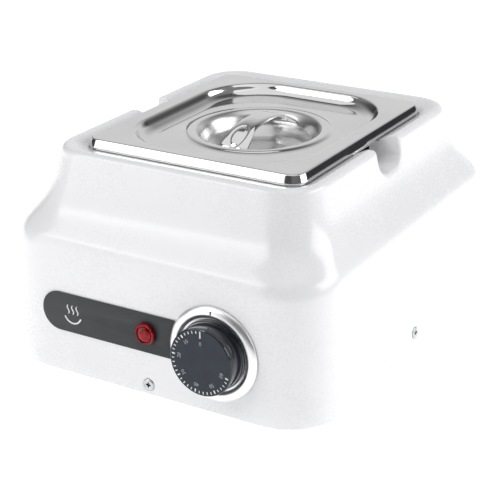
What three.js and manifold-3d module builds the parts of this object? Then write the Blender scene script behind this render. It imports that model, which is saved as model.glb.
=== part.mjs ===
// Electric paraffin wax bath: a moulded casing, a heated well, a lift-out steel pan and a loose steel lid.
// Millimetres, +Z up. The feet stand on z = 0, the control panel faces -Y and +X is its right-hand side.

import * as THREE from 'three';
import { mergeVertices } from 'three/addons/utils/BufferGeometryUtils.js';
import Module from 'manifold-3d';

const wasm = await Module();
wasm.setup();

// ---------------------------------------------- driving dimensions

const RIM_HALF = [98.2, 110.8];       // casing, half width and half depth at the top rim
const SHOULDER_HALF = [119.5, 140.6]; // the same at the top of the skirt
const RIM_CORNER = 27;                // vertical corner radius at the rim
const SHOULDER_CORNER = 36.5;         // and at the skirt
const SKIRT_DRAFT = 0.0325;           // how far the skirt leans outward for each millimetre down
const WALL = 3;                       // moulded wall
const RIM_Z = 147.4;
const RIM_ROUND = 4;                  // rounded outer edge of the rim
const RIM_CREST = 5;                  // from the outer face to where the rim starts to dip inward
const RIM_INNER_Z = 143;              // lowest line of the dished rim, round the lid
const SKIRT_TOP_Z = 87;
const SKIRT_FOOT_Z = 4;               // lower edge of the casing, above the table

const LEDGE_Z = 141.5;                // recessed ledge that carries the pan
const REBATE_HALF = [83.3, 90.3];     // recess round the ledge
const REBATE_CORNER = 11;
const OPENING_HALF = [76, 83];        // hole in the ledge
const OPENING_CORNER = 26;
const COLLAR_Z = 123;                 // lower edge of the collar round the opening
const NOTCH_HALF = 16;                // finger notches in the left and right rim
const NOTCH_ROUND = 11.5;
const NOTCH_Z = 128.4;
const NOTCH_Y = 2.5;

const LID_HALF = [81, 88];            // sixth-size lid, 162 by 176
const LID_CORNER = 9;
const LID_Z = 149.9;                  // flat border of the lid
const LID_EDGE = 5.8;                 // height of its turned-down edge
const LID_LIP = 0.5;                  // how far the foot of that edge turns outward
const SHEET = 1;                      // pressed steel sheet

const FLANGE_INSET = 0.8;             // the pan's flange is this much smaller all round than the lid
const PAN_MOUTH_HALF = [70.5, 80];
const PAN_MOUTH_CORNER = 26;
const PAN_DEPTH = 100;
const PAN_TOP_Z = LEDGE_Z + 2.4;
const SIDE_TAPER = 0.075;             // how far the pan and the well narrow for each millimetre down

const RECESS_DEPTH = 7.5;
const DISH_DEPTH = 17;
const DISH_RADIUS = 43;
const STRAP_WIDTH = 16;
const STRAP_FLARE = 22;               // width of the strap at its welded ends
const STRAP_SHEET = 1.2;
const STRAP_PROUD = 2;                // how far the strap's arch stands above the border

const KNOB_X = 50.4;
const KNOB_Z = 45.7;
const KNOB_RADIUS = 22.8;
const KNOB_PROUD = 15.4;              // face of the knob, out from the panel
const BEZEL_RADIUS = 32;
const SPINDLE_RADIUS = 3;
const THERMOSTAT_PITCH = 28;          // between the thermostat's two fixing screws

const LABEL_Z = 48;
const LABEL_HALF_HEIGHT = 13.7;
const LABEL_LEFT = -69.8;             // centre of the label's round end
const LABEL_SHEET = 0.5;
const LAMP_X = 0;
const LAMP_HOLE = 6.2;

const FRONT_SCREW_Z = 11.2;
const SIDE_SCREW_Z = 15.2;
const GLAND_X = -70;
const GLAND_Z = 34;
const GLAND_THREAD = 7.6;
const GLAND_BORE = 4;
const GLAND_PROUD = 15.5;             // end of the dome nut, out from the wall

const TRAY_Z = 7;                     // underside of the base tray
const TRAY_LIP = 14;
const FOOT_AT = [92, 112];
const FOOT_RADIUS = 11;

const TERMINAL_AT = [-62, 100];       // mains terminal block on the tray
const TERMINAL_SCREW_X = 25;
const POLE_PITCH = 10;
const EARTH_AT = [-24, 104];
const WIRE_RADIUS = 1.1;

const WELL_HALF = [74.6, 81.6];
const WELL_CORNER = 27;
const WELL_FLOOR_Z = 42.2;
const WELL_SHEET = 1.5;
const BOSS_AT = [50, 96];             // bosses that take the well's fixing screws
const BOSS_RADIUS = 4.6;
const CUTOUT_AT = [30, 74];           // thermal cut-out on the well's rear wall, across and up

const GAP = 0.3;                      // left between pieces that touch
const THROUGH = 5;                    // how far a cutter runs past what it cuts

// ---------------------------------------------- materials

function material(color, roughness, metalness) {
  return new THREE.MeshStandardMaterial({ color, roughness, metalness });
}

const whitePlastic = material(0xf2f2f0, 0.25, 0);
const steel = material(0xc8c9ca, 0.15, 1);
const chrome = material(0xe0e2e5, 0.08, 1);
const zincSteel = material(0xb4b8ba, 0.35, 1);
const aluminium = material(0xc2c4c6, 0.4, 1);
const slatePlastic = material(0x2e3238, 0.45, 0);
const darkFilm = material(0x45484c, 0.5, 0);
const redLens = material(0xb0121c, 0.15, 0);
const blackRubber = material(0x1c1c1d, 0.85, 0);
const redSilicone = material(0xb5482c, 0.6, 0);
const greySilicone = material(0x8f9092, 0.6, 0);
const wool = material(0xd9d4c4, 0.95, 0);
const cream = material(0xdcd8cc, 0.5, 0);
const blackPlastic = material(0x1b1b1c, 0.5, 0);
const copper = material(0xb87345, 0.35, 1);
const brass = material(0xc2a35a, 0.35, 1);
const wireInsulation = material(0xe6e4de, 0.6, 0);
const earthInsulation = material(0x7ea62c, 0.6, 0);

// ---------------------------------------------- solids and booleans

// Turns a closed geometry into a manifold solid, whichever way its faces were wound.
function solid(geometry) {
  const bare = geometry.clone();
  for (const name of Object.keys(bare.attributes)) {
    if (name !== 'position') {
      bare.deleteAttribute(name);
    }
  }
  const merged = mergeVertices(bare, 1e-4);
  const points = merged.attributes.position.array;
  const corners = merged.index.array;
  const kept = [];
  let volume = 0;
  const a = new THREE.Vector3();
  const b = new THREE.Vector3();
  const c = new THREE.Vector3();
  for (let i = 0; i < corners.length; i += 3) {
    const [p, q, r] = [corners[i], corners[i + 1], corners[i + 2]];
    if (p !== q && q !== r && r !== p) {
      kept.push([p, q, r]);
      a.fromArray(points, 3 * p);
      b.fromArray(points, 3 * q);
      c.fromArray(points, 3 * r);
      volume += a.dot(b.cross(c));
    }
  }
  const wound = volume < 0 ? kept.map(([p, q, r]) => [p, r, q]) : kept;
  return new wasm.Manifold(new wasm.Mesh({
    numProp: 3,
    vertProperties: Float32Array.from(points),
    triVerts: Uint32Array.from(wound.flat()),
  }));
}

function geometryOf(body) {
  const mesh = body.getMesh();
  const geometry = new THREE.BufferGeometry();
  const points = Float32Array.from(mesh.vertProperties);
  geometry.setAttribute('position', new THREE.BufferAttribute(points, 3));
  geometry.setIndex(new THREE.BufferAttribute(Uint32Array.from(mesh.triVerts), 1));
  geometry.computeVertexNormals();
  return geometry;
}

function unite(first, ...others) {
  return others.reduce((sum, other) => sum.add(other), first);
}

function cut(first, ...others) {
  return others.reduce((rest, other) => rest.subtract(other), first);
}

// ---------------------------------------------- shape helpers

function ring(half, corner, z) {
  return { x: half[0], y: half[1], corner, z };
}

function disc(radius, z) {
  return ring([radius, radius], radius, z);
}

// A lathe whose turn is split at its four quarters and spread out, so each level is a rounded rectangle.
function spreadLathe(rings, steps) {
  const columns = 4 * (steps + 1);
  const profile = rings.map((level) => new THREE.Vector2(level.corner, level.z));
  const geometry = new THREE.LatheGeometry(profile, columns);
  const position = geometry.attributes.position;
  for (let column = 0; column <= columns; column++) {
    const quarter = Math.floor(column / (steps + 1)) % 4;
    const angle = (quarter + (column % (steps + 1)) / steps) * Math.PI / 2;
    const sideX = quarter === 0 || quarter === 3 ? 1 : -1;
    const sideY = quarter < 2 ? 1 : -1;
    rings.forEach((level, row) => {
      const x = sideX * (level.x - level.corner) + level.corner * Math.cos(angle);
      const y = sideY * (level.y - level.corner) + level.corner * Math.sin(angle);
      position.setXYZ(column * rings.length + row, x, y, level.z);
    });
  }
  return geometry;
}

// Levels from bottom to top, closed with a flat face at each end.
function spreadSolid(rings, steps = 6) {
  const ends = [disc(0, rings[0].z), ...rings, disc(0, rings[rings.length - 1].z)];
  return solid(spreadLathe(ends, steps));
}

// A profile of [radius, height] points turned about +Z, closed on the axis or on itself.
function turned(points, segments = 24) {
  const profile = points.map(([radius, height]) => new THREE.Vector2(radius, height));
  const first = profile[0];
  const last = profile[profile.length - 1];
  if (first.x > 0 || last.x > 0) {
    profile.push(first.clone());
  }
  return new THREE.LatheGeometry(profile, segments).rotateX(Math.PI / 2);
}

function rod(radius, from, to, segments = 16) {
  const geometry = new THREE.CylinderGeometry(radius, radius, to - from, segments);
  return geometry.rotateX(Math.PI / 2).translate(0, 0, (from + to) / 2);
}

function block(size, centre = [0, 0, 0]) {
  return new THREE.BoxGeometry(...size).translate(...centre);
}

function roundedShape(half, corner, steps) {
  const outline = [];
  const quarters = [[1, -1, -Math.PI / 2], [1, 1, 0], [-1, 1, Math.PI / 2], [-1, -1, Math.PI]];
  for (const [sideX, sideY, start] of quarters) {
    const x = sideX * (half[0] - corner);
    const y = sideY * (half[1] - corner);
    for (let step = 0; step <= steps; step++) {
      const angle = start + step / steps * Math.PI / 2;
      outline.push(new THREE.Vector2(x + corner * Math.cos(angle), y + corner * Math.sin(angle)));
    }
  }
  return new THREE.Shape(outline);
}

function slab(shape, thickness, curveSegments = 12) {
  return new THREE.ExtrudeGeometry(shape, { depth: thickness, bevelEnabled: false, curveSegments });
}

// A flat rounded plate between two heights.
function plate(half, corner, from, to, steps = 4) {
  return solid(slab(roundedShape(half, corner, steps), to - from).translate(0, 0, from));
}

// A round tube along a smooth curve through the points.
function tube(points, radius, steps, sides = 6) {
  const path = new THREE.CatmullRomCurve3(points.map((point) => new THREE.Vector3(...point)));
  const section = new THREE.Shape();
  section.absarc(0, 0, radius, 0, 2 * Math.PI);
  return new THREE.ExtrudeGeometry(section, { steps, curveSegments: sides / 2, extrudePath: path });
}

function hexagon(acrossFlats) {
  const radius = acrossFlats / Math.sqrt(3);
  const outline = [];
  for (let side = 0; side < 6; side++) {
    const angle = side * Math.PI / 3;
    outline.push(new THREE.Vector2(radius * Math.cos(angle), radius * Math.sin(angle)));
  }
  return new THREE.Shape(outline);
}

function hexNut(acrossFlats, bore, from, to) {
  const body = solid(slab(hexagon(acrossFlats), to - from).translate(0, 0, from));
  return cut(body, solid(rod(bore, from - 1, to + 1)));
}

// ---------------------------------------------- scene graph

const waxBath = new THREE.Group();

function add(parent, name, shape, finish) {
  const geometry = shape.isBufferGeometry ? shape : geometryOf(shape);
  const mesh = new THREE.Mesh(geometry, finish);
  mesh.name = name;
  parent.add(mesh);
  return mesh;
}

// A frame on one wall of the skirt, seen from outside: +Z points out of it, +Y up it and +X to its right.
const WALLS = {
  front: { turn: 0, half: SHOULDER_HALF[1] },
  right: { turn: Math.PI / 2, half: SHOULDER_HALF[0] },
  rear: { turn: Math.PI, half: SHOULDER_HALF[1] },
  left: { turn: -Math.PI / 2, half: SHOULDER_HALF[0] },
};

function onWall(side, across, z) {
  const { turn, half } = WALLS[side];
  const facing = new THREE.Group();
  facing.rotation.z = turn;
  const frame = new THREE.Group();
  frame.position.set(across, -(half + SKIRT_DRAFT * (SKIRT_TOP_Z - z)), z);
  frame.rotation.x = Math.PI / 2 - Math.atan(SKIRT_DRAFT);
  facing.add(frame);
  waxBath.add(facing);
  facing.updateMatrixWorld(true);
  return frame;
}

function placed(geometry, frame) {
  return solid(geometry.clone().applyMatrix4(frame.matrixWorld));
}

const knobFrame = onWall('front', KNOB_X, KNOB_Z);
const lampFrame = onWall('front', LAMP_X, LABEL_Z);
const glandFrame = onWall('rear', -GLAND_X, GLAND_Z);
const screwFrames = {
  front: onWall('front', 0, FRONT_SCREW_Z),
  right: onWall('right', 0, SIDE_SCREW_Z),
  rear: onWall('rear', 0, FRONT_SCREW_Z),
  left: onWall('left', 0, SIDE_SCREW_Z),
};

// ---------------------------------------------- casing

// How far the wall has spread from the rim, and the height, from the top of the wall down to the skirt.
function flarePoints(divisions) {
  const spread = SHOULDER_HALF[0] - RIM_HALF[0];
  const path = new THREE.Path();
  path.moveTo(0, RIM_Z - RIM_ROUND);
  path.lineTo(0.17 * spread, RIM_Z - 24);
  path.quadraticCurveTo(0.23 * spread, RIM_Z - 31.5, 0.43 * spread, RIM_Z - 36.4);
  path.lineTo(0.8 * spread, SKIRT_TOP_Z + 13.6);
  path.quadraticCurveTo(0.985 * spread, SKIRT_TOP_Z + 9.6, spread, SKIRT_TOP_Z);
  const points = path.getPoints(divisions);
  return points.filter((point, i) => i === 0 || point.distanceTo(points[i - 1]) > 0.01);
}

function casingLevel(spread, z, inset) {
  const share = spread / (SHOULDER_HALF[0] - RIM_HALF[0]);
  const half = [0, 1].map((i) => THREE.MathUtils.lerp(RIM_HALF[i], SHOULDER_HALF[i], share) - inset);
  return ring(half, THREE.MathUtils.lerp(RIM_CORNER, SHOULDER_CORNER, share) - inset, z);
}

function skirtLevel(z, inset) {
  const outset = SKIRT_DRAFT * (SKIRT_TOP_Z - z) - inset;
  return ring(SHOULDER_HALF.map((half) => half + outset), SHOULDER_CORNER + outset, z);
}

function casingOutside() {
  const levels = [skirtLevel(SKIRT_FOOT_Z, 0)];
  for (const point of flarePoints(3).reverse()) {
    levels.push(casingLevel(point.x, point.y, 0));
  }
  for (const angle of [30, 60, 90]) {
    const turn = THREE.MathUtils.degToRad(angle);
    const inset = RIM_ROUND * (1 - Math.cos(turn));
    levels.push(casingLevel(0, RIM_Z - RIM_ROUND * (1 - Math.sin(turn)), inset));
  }
  return spreadSolid(levels, 6);
}

function casingInside() {
  const drop = 1.5;
  const levels = [skirtLevel(SKIRT_FOOT_Z - THROUGH, WALL), skirtLevel(SKIRT_TOP_Z - drop, WALL)];
  for (const point of flarePoints(2).reverse().slice(1)) {
    levels.push(casingLevel(point.x, Math.min(point.y - drop, LEDGE_Z - WALL), WALL));
  }
  return spreadSolid(levels, 5);
}

// The channel under the rim, one wall inside the outer face, the dished top and the recess.
function rimHollow() {
  const low = LEDGE_Z - WALL - 1;
  const high = RIM_Z - WALL;
  const outer = spreadSolid([casingLevel(0, low, WALL + 1), casingLevel(0, high, WALL + 1)], 3);
  const half = REBATE_HALF.map((size) => size + WALL);
  const corner = REBATE_CORNER + WALL;
  const inner = spreadSolid([
    ring(half, corner, low - 1),
    ring(half, corner, RIM_INNER_Z - WALL),
    casingLevel(0, high, RIM_CREST),
    casingLevel(0, high + 1, RIM_CREST),
  ], 3);
  return cut(outer, inner);
}

// The recess that takes the pan's flange and the lid, and the dished top of the rim round it.
function rimDish() {
  return spreadSolid([
    ring(REBATE_HALF, REBATE_CORNER, LEDGE_Z),
    ring(REBATE_HALF, REBATE_CORNER, RIM_INNER_Z),
    casingLevel(0, RIM_Z, RIM_CREST),
    casingLevel(0, RIM_Z + THROUGH, RIM_CREST),
  ], 4);
}

// A U lying in the YZ plane, run along X through one side of the rim.
function notchCutter(side, grow, from, to) {
  const half = NOTCH_HALF + grow;
  const round = NOTCH_ROUND + grow;
  const floor = NOTCH_Z - grow;
  const shape = new THREE.Shape();
  shape.moveTo(-half, RIM_Z + THROUGH);
  shape.lineTo(-half, floor + round);
  shape.quadraticCurveTo(-half, floor, -half + round, floor);
  shape.lineTo(half - round, floor);
  shape.quadraticCurveTo(half, floor, half, floor + round);
  shape.lineTo(half, RIM_Z + THROUGH);
  const geometry = slab(shape, to - from, 6);
  geometry.rotateX(Math.PI / 2).rotateZ(Math.PI / 2);
  geometry.translate(from, NOTCH_Y, 0);
  return solid(side > 0 ? geometry : geometry.scale(-1, 1, 1));
}

function screwSeat(frame) {
  const profile = [[0, -WALL - THROUGH], [2.1, -WALL - THROUGH], [2.1, -2.2], [4.6, 0], [4.6, 2], [0, 2]];
  return placed(turned(profile, 16), frame);
}

function wellBoss() {
  return cut(
    solid(rod(BOSS_RADIUS, COLLAR_Z, LEDGE_Z - 1, 12)),
    solid(rod(BOSS_RADIUS - WALL, COLLAR_Z - 1, COLLAR_Z + 12, 12)),
  );
}

function outerCasing() {
  const outside = casingOutside();
  const notchFrom = OPENING_HALF[0] - 1;
  const notchTo = RIM_HALF[0] + 12;
  let body = cut(outside, casingInside(), rimHollow());
  const collar = OPENING_HALF.map((half) => half + WALL);
  body = body.add(plate(collar, OPENING_CORNER + WALL, COLLAR_Z, LEDGE_Z - 1, 5));
  for (const side of [-1, 1]) {
    const pocket = notchCutter(side, WALL, OPENING_HALF[0] + 1, RIM_HALF[0] + 6);
    body = body.add(pocket.intersect(outside));
  }
  for (const x of [-BOSS_AT[0], BOSS_AT[0]]) {
    for (const y of [-BOSS_AT[1], BOSS_AT[1]]) {
      body = body.add(wellBoss().translate([x, y, 0]));
    }
  }
  body = cut(
    body,
    plate(OPENING_HALF, OPENING_CORNER, COLLAR_Z - THROUGH, RIM_Z + THROUGH, 5),
    rimDish(),
    notchCutter(-1, 0, notchFrom, notchTo),
    notchCutter(1, 0, notchFrom, notchTo),
    ...Object.values(screwFrames).map(screwSeat),
    placed(rod(LAMP_HOLE, -WALL - THROUGH, THROUGH), lampFrame),
    placed(rod(5.2, -WALL - THROUGH, THROUGH), knobFrame),
    placed(rod(2.3, -WALL - THROUGH, THROUGH, 12).translate(-THERMOSTAT_PITCH / 2, 0, 0), knobFrame),
    placed(rod(2.3, -WALL - THROUGH, THROUGH, 12).translate(THERMOSTAT_PITCH / 2, 0, 0), knobFrame),
    placed(rod(GLAND_THREAD + GAP, -WALL - THROUGH, THROUGH), glandFrame),
  );
  return body;
}

add(waxBath, 'outer_casing', outerCasing(), whitePlastic);

// ---------------------------------------------- base tray, feet and their screws

function baseTray() {
  const lipZ = TRAY_Z + TRAY_LIP;
  const clear = WALL + 0.5;
  const outer = spreadSolid([skirtLevel(TRAY_Z, clear), skirtLevel(lipZ, clear)]);
  const inner = spreadSolid([skirtLevel(TRAY_Z + SHEET, clear + SHEET), skirtLevel(lipZ + 1, clear + SHEET)]);
  let body = cut(outer, inner);
  for (const frame of Object.values(screwFrames)) {
    body = body.subtract(placed(rod(2.1, -WALL - THROUGH, 0, 12), frame));
  }
  for (const x of [-FOOT_AT[0], FOOT_AT[0]]) {
    for (const y of [-FOOT_AT[1], FOOT_AT[1]]) {
      body = body.subtract(solid(rod(1.9, 0, TRAY_Z + 3, 10).translate(x, y, 0)));
    }
  }
  const vent = roundedShape([3, 20], 2.9, 1);
  for (const y of [-52, 52]) {
    for (let slot = -1.5; slot <= 1.5; slot++) {
      body = body.subtract(solid(slab(vent, 10).translate(16 * slot, y, TRAY_Z - 3)));
    }
  }
  for (const side of [-1, 1]) {
    const x = TERMINAL_AT[0] + side * TERMINAL_SCREW_X;
    body = body.subtract(solid(rod(1.8, 0, TRAY_Z + 3, 12).translate(x, TERMINAL_AT[1], 0)));
  }
  body = body.subtract(solid(rod(2.3, 0, TRAY_Z + 3, 12).translate(EARTH_AT[0], EARTH_AT[1], 0)));
  return body;
}

add(waxBath, 'base_tray', baseTray(), zincSteel);

function foot() {
  const top = TRAY_Z - 0.2;
  const profile = [[2.4, 3], [6, 3], [6, 0], [FOOT_RADIUS, 0], [FOOT_RADIUS - 1, top], [2.4, top]];
  return solid(turned(profile, 16));
}

function footScrew() {
  const profile = [[0, 1], [4.2, 1], [4.2, 2.8], [1.6, 2.8], [1.6, 14], [0, 15]];
  return cut(solid(turned(profile, 10)), solid(block([5.4, 0.9, 1.6], [0, 0, 1])));
}

for (const [row, sideY] of [['front', -1], ['rear', 1]]) {
  for (const [column, sideX] of [['left', -1], ['right', 1]]) {
    const corner = new THREE.Group();
    corner.position.set(sideX * FOOT_AT[0], sideY * FOOT_AT[1], 0);
    waxBath.add(corner);
    add(corner, `foot_${row}_${column}`, foot(), blackRubber);
    add(corner, `foot_screw_${row}_${column}`, footScrew(), zincSteel);
  }
}

// ---------------------------------------------- casing screws

function casingScrew() {
  const profile = [[0, -11], [1.2, -9.6], [1.7, -9], [1.7, -2.2], [4, 0.1], [3.2, 0.5], [0, 0.7]];
  const cross = [solid(block([3.8, 0.9, 3], [0, 0, 0.4])), solid(block([0.9, 3.8, 3], [0, 0, 0.4]))];
  return cut(solid(turned(profile, 12)), ...cross);
}

for (const [side, frame] of Object.entries(screwFrames)) {
  add(frame, `casing_screw_${side}`, casingScrew(), zincSteel);
}

// ---------------------------------------------- control label and pilot lamp

// A strip with a round left end and a hollow right end that follows the bezel, drawn about the lamp.
function controlLabel() {
  const left = LABEL_LEFT - LAMP_X;
  const knob = [KNOB_X - LAMP_X, KNOB_Z - LABEL_Z];
  const reach = BEZEL_RADIUS + 0.4;
  const top = Math.asin((LABEL_HALF_HEIGHT - knob[1]) / reach);
  const bottom = Math.asin((-LABEL_HALF_HEIGHT - knob[1]) / reach);
  const shape = new THREE.Shape();
  shape.absarc(left, 0, LABEL_HALF_HEIGHT, Math.PI / 2, 3 * Math.PI / 2, false);
  shape.absarc(knob[0], knob[1], reach, Math.PI - bottom, Math.PI - top, true);
  shape.closePath();
  const strip = solid(slab(shape, LABEL_SHEET, 10).translate(0, 0, GAP));
  return strip.subtract(solid(rod(LAMP_HOLE, -1, 2)));
}

add(lampFrame, 'control_label', controlLabel(), darkFilm);

const LENS_SEAT = GAP + LABEL_SHEET + 0.2;

function lampLens() {
  const dome = [[0, 0], [7.1, 0], [7.2, 1], [6.6, 2.6], [5.2, 3.1], [4.7, 2.4], [0, 3.2]];
  return solid(turned(dome, 16).translate(0, 0, LENS_SEAT));
}

function lampBody() {
  const top = LENS_SEAT - 0.2;
  const barrel = solid(turned([[0, -22], [5.2, -22], [5.9, -20], [5.9, top], [0, top]], 16));
  const tabs = [-3, 3].map((x) => solid(block([0.8, 4, 8], [x, 0, -25])));
  return unite(barrel, ...tabs);
}

function lampNut() {
  return hexNut(16, LAMP_HOLE, -WALL - 4, -WALL - GAP);
}

add(lampFrame, 'pilot_lamp_lens', lampLens(), redLens);
add(lampFrame, 'pilot_lamp_body', lampBody(), blackPlastic);
add(lampFrame, 'pilot_lamp_nut', lampNut(), blackPlastic);

// ---------------------------------------------- bezel, knob and thermostat

// One hole in each of two opposite places, as far apart as the thermostat's fixing screws.
function fixingHoles(radius, from, to) {
  return [-1, 1].map((side) => {
    const hole = rod(radius, from, to, 12);
    return solid(hole.translate(side * THERMOSTAT_PITCH / 2, 0, 0));
  });
}

// A dish with a broad rounded rim that falls steeply to a flat plate behind the knob.
function knobBezel() {
  const spindleHole = 5.4;
  const plateTop = 1.4;
  const rim = [[0, 1.2], [0.9, 2.4], [2.8, 3.4], [4.8, 3.8], [5.6, 3.5], [6.4, 2.6], [7.2, plateTop]];
  const profile = [
    [spindleHole, GAP],
    [BEZEL_RADIUS, GAP],
    ...rim.map(([inset, height]) => [BEZEL_RADIUS - inset, height]),
    [spindleHole, plateTop],
  ];
  return cut(solid(turned(profile, 30)), ...fixingHoles(2.3, -1, 3));
}

function knob() {
  const face = KNOB_PROUD;
  const bore = SPINDLE_RADIUS + 0.2;
  const hub = 6.4;
  const inside = KNOB_RADIUS - 1.8;
  const profile = [
    [0, face - 4], [bore, face - 4], [bore, 4.4], [hub, 4.4],
    [hub, face - 2.6], [inside - 0.6, face - 2.6], [inside, 2],
    [KNOB_RADIUS + 0.5, 2], [KNOB_RADIUS + 0.5, 3.1], [KNOB_RADIUS, 3.5],
    [KNOB_RADIUS - 0.3, face - 0.8], [KNOB_RADIUS - 1, face], [0, face],
  ];
  const key = solid(block([2 * SPINDLE_RADIUS, 1.2, face - 8.6], [0, SPINDLE_RADIUS - 0.2, face / 2 + 0.2]));
  return solid(turned(profile, 30)).add(key);
}

function spindle() {
  const shaft = solid(rod(SPINDLE_RADIUS, -WALL - 4.5, KNOB_PROUD - 4.3, 16));
  return shaft.subtract(solid(block([10, 3, 8.6], [0, SPINDLE_RADIUS + 0.6, KNOB_PROUD - 7.3])));
}

const BODY_BACK = -WALL - 34;

function thermostatBody() {
  const bracket = solid(block([38, 20, 1.5], [0, 0, -WALL - 1.2]));
  const housing = solid(block([34, 30, 26], [0, 0, -WALL - 14.9]));
  const neck = solid(rod(7, BODY_BACK, -WALL - 24, 14));
  const tabs = [-10, 10].map((x) => solid(block([6, 0.8, 12], [x, -9, -WALL - 30])));
  const bore = solid(rod(SPINDLE_RADIUS + 0.2, -WALL - 4.8, 0, 16));
  return cut(unite(bracket, housing, neck, ...tabs), ...fixingHoles(1.8, -WALL - 9, 0), bore);
}

function panelScrew() {
  const profile = [[0, 3.5], [3.4, 3.5], [3.4, 1.7], [1.6, 1.7], [1.6, -WALL - 7.5], [0, -WALL - 7.5]];
  return cut(solid(turned(profile, 10)), solid(block([4.4, 0.9, 1.6], [0, 0, 3.5])));
}

add(knobFrame, 'knob_bezel', knobBezel(), chrome);
add(knobFrame, 'thermostat_knob', knob(), slatePlastic);
add(knobFrame, 'thermostat_spindle', spindle(), zincSteel);
add(knobFrame, 'thermostat_body', thermostatBody(), cream);
for (const [name, side] of [['left', -1], ['right', 1]]) {
  const screw = add(knobFrame, `thermostat_screw_${name}`, panelScrew(), zincSteel);
  screw.position.x = side * THERMOSTAT_PITCH / 2;
}

// ---------------------------------------------- heated well

const WELL_TOP_Z = COLLAR_Z - 2;      // top of the well's flange, below its seal

function wellLevel(z, inset) {
  const taper = SIDE_TAPER * (WELL_TOP_Z - z);
  return ring(WELL_HALF.map((half) => half - taper - inset), WELL_CORNER - 0.5 * taper - inset, z);
}

function heaterWell() {
  const floor = WELL_FLOOR_Z;
  const bend = 3.5;                     // height of the slope between the floor and the walls
  const outside = spreadSolid([
    wellLevel(floor - WELL_SHEET, 5),
    wellLevel(floor + bend, 0),
    wellLevel(WELL_TOP_Z, 0),
  ]);
  const inside = spreadSolid([
    wellLevel(floor, 5),
    wellLevel(floor + bend, WELL_SHEET),
    wellLevel(WELL_TOP_Z + 1, WELL_SHEET),
  ]);
  const flangeHalf = WELL_HALF.map((half) => half + 5);
  const flange = plate(flangeHalf, WELL_CORNER + 3, WELL_TOP_Z - WELL_SHEET, WELL_TOP_Z, 4);
  const parts = [flange, solid(rod(2.5, floor - WELL_SHEET - 17, floor - WELL_SHEET + 0.5, 14))];
  const holes = [];
  for (const x of [-BOSS_AT[0], BOSS_AT[0]]) {
    for (const side of [-1, 1]) {
      const reach = BOSS_AT[1] + 6 - WELL_HALF[1];
      const centre = [x, side * (WELL_HALF[1] + reach / 2), WELL_TOP_Z - WELL_SHEET / 2];
      parts.push(solid(block([14, reach, WELL_SHEET], centre)));
      const hole = rod(2.1, WELL_TOP_Z - THROUGH, WELL_TOP_Z + THROUGH, 12);
      holes.push(solid(hole.translate(x, side * BOSS_AT[1], 0)));
    }
  }
  return cut(unite(outside, ...parts), inside, ...holes);
}

function wellGasket() {
  const outer = WELL_HALF.map((half) => half + 4.6);
  const inner = WELL_HALF.map((half) => half + 0.6);
  return cut(
    plate(outer, WELL_CORNER + 2, WELL_TOP_Z + 0.2, COLLAR_Z - 0.2),
    plate(inner, WELL_CORNER - 1, WELL_TOP_Z - 1, COLLAR_Z + 1),
  );
}

function wellScrew() {
  const head = WELL_TOP_Z - WELL_SHEET;
  const profile = [[0, head - 2.2], [3.4, head - 2.2], [3.4, head - 0.2], [1.4, head - 0.2],
    [1.4, COLLAR_Z + 9], [0, COLLAR_Z + 10]];
  return cut(solid(turned(profile, 10)), solid(block([4.4, 0.9, 1.6], [0, 0, head - 2.2])));
}

add(waxBath, 'heater_well', heaterWell(), aluminium);
add(waxBath, 'well_gasket', wellGasket(), greySilicone);
for (const [row, sideY] of [['front', -1], ['rear', 1]]) {
  for (const [column, sideX] of [['left', -1], ['right', 1]]) {
    const screw = add(waxBath, `well_screw_${row}_${column}`, wellScrew(), zincSteel);
    screw.position.set(sideX * BOSS_AT[0], sideY * BOSS_AT[1], 0);
  }
}

// ---------------------------------------------- heater, insulation and clamp under the well

const HEATER_HALF = [52, 58];
const MAT_TOP = WELL_FLOOR_Z - WELL_SHEET - GAP;
const MAT_THICK = 2;
const PAD_THICK = 7;
const PAD_TOP = MAT_TOP - MAT_THICK - GAP;
const CLAMP_TOP = PAD_TOP - PAD_THICK - GAP;

function studHole(from, to) {
  return solid(rod(2.8, from - 1, to + 1, 14));
}

function heaterMat() {
  const bottom = MAT_TOP - MAT_THICK;
  const tongue = solid(block([22, 14, MAT_THICK], [0, HEATER_HALF[1] + 5, MAT_TOP - MAT_THICK / 2]));
  return cut(plate(HEATER_HALF, 14, bottom, MAT_TOP).add(tongue), studHole(bottom, MAT_TOP));
}

function insulationPad() {
  const half = HEATER_HALF.map((size) => size + 3);
  return cut(plate(half, 16, PAD_TOP - PAD_THICK, PAD_TOP), studHole(PAD_TOP - PAD_THICK, PAD_TOP));
}

function clampPlate() {
  const bottom = CLAMP_TOP - 1.2;
  return cut(plate([34, 38], 6, bottom, CLAMP_TOP), studHole(bottom, CLAMP_TOP));
}

// A blanket round the well's side walls, open at the front where the sensor bulb touches the metal.
function insulationWrap() {
  const thick = 7;
  const low = WELL_FLOOR_Z + 6;
  const high = WELL_TOP_Z - 16;
  const outside = spreadSolid([wellLevel(low, -1 - thick), wellLevel(high, -1 - thick)], 4);
  const inside = spreadSolid([wellLevel(low - 1, -1), wellLevel(high + 1, -1)], 4);
  const frontGap = solid(block([112, 60, 90], [0, -WELL_HALF[1], (low + high) / 2]));
  const rearGap = solid(block([26, 40, 30], [CUTOUT_AT[0], WELL_HALF[1], CUTOUT_AT[1]]));
  return cut(outside, inside, frontGap, rearGap);
}

add(waxBath, 'heater_mat', heaterMat(), redSilicone);
add(waxBath, 'insulation_pad', insulationPad(), wool);
add(waxBath, 'heater_clamp_plate', clampPlate(), zincSteel);
add(waxBath, 'heater_clamp_nut', hexNut(8, 2.7, CLAMP_TOP - 5.4, CLAMP_TOP - 1.4), zincSteel);
add(waxBath, 'insulation_wrap', insulationWrap(), wool);

// ---------------------------------------------- sensor bulb, its clip and the thermal cut-out

function wellFaceY(z) {
  return WELL_HALF[1] - SIDE_TAPER * (WELL_TOP_Z - z);
}

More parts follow.
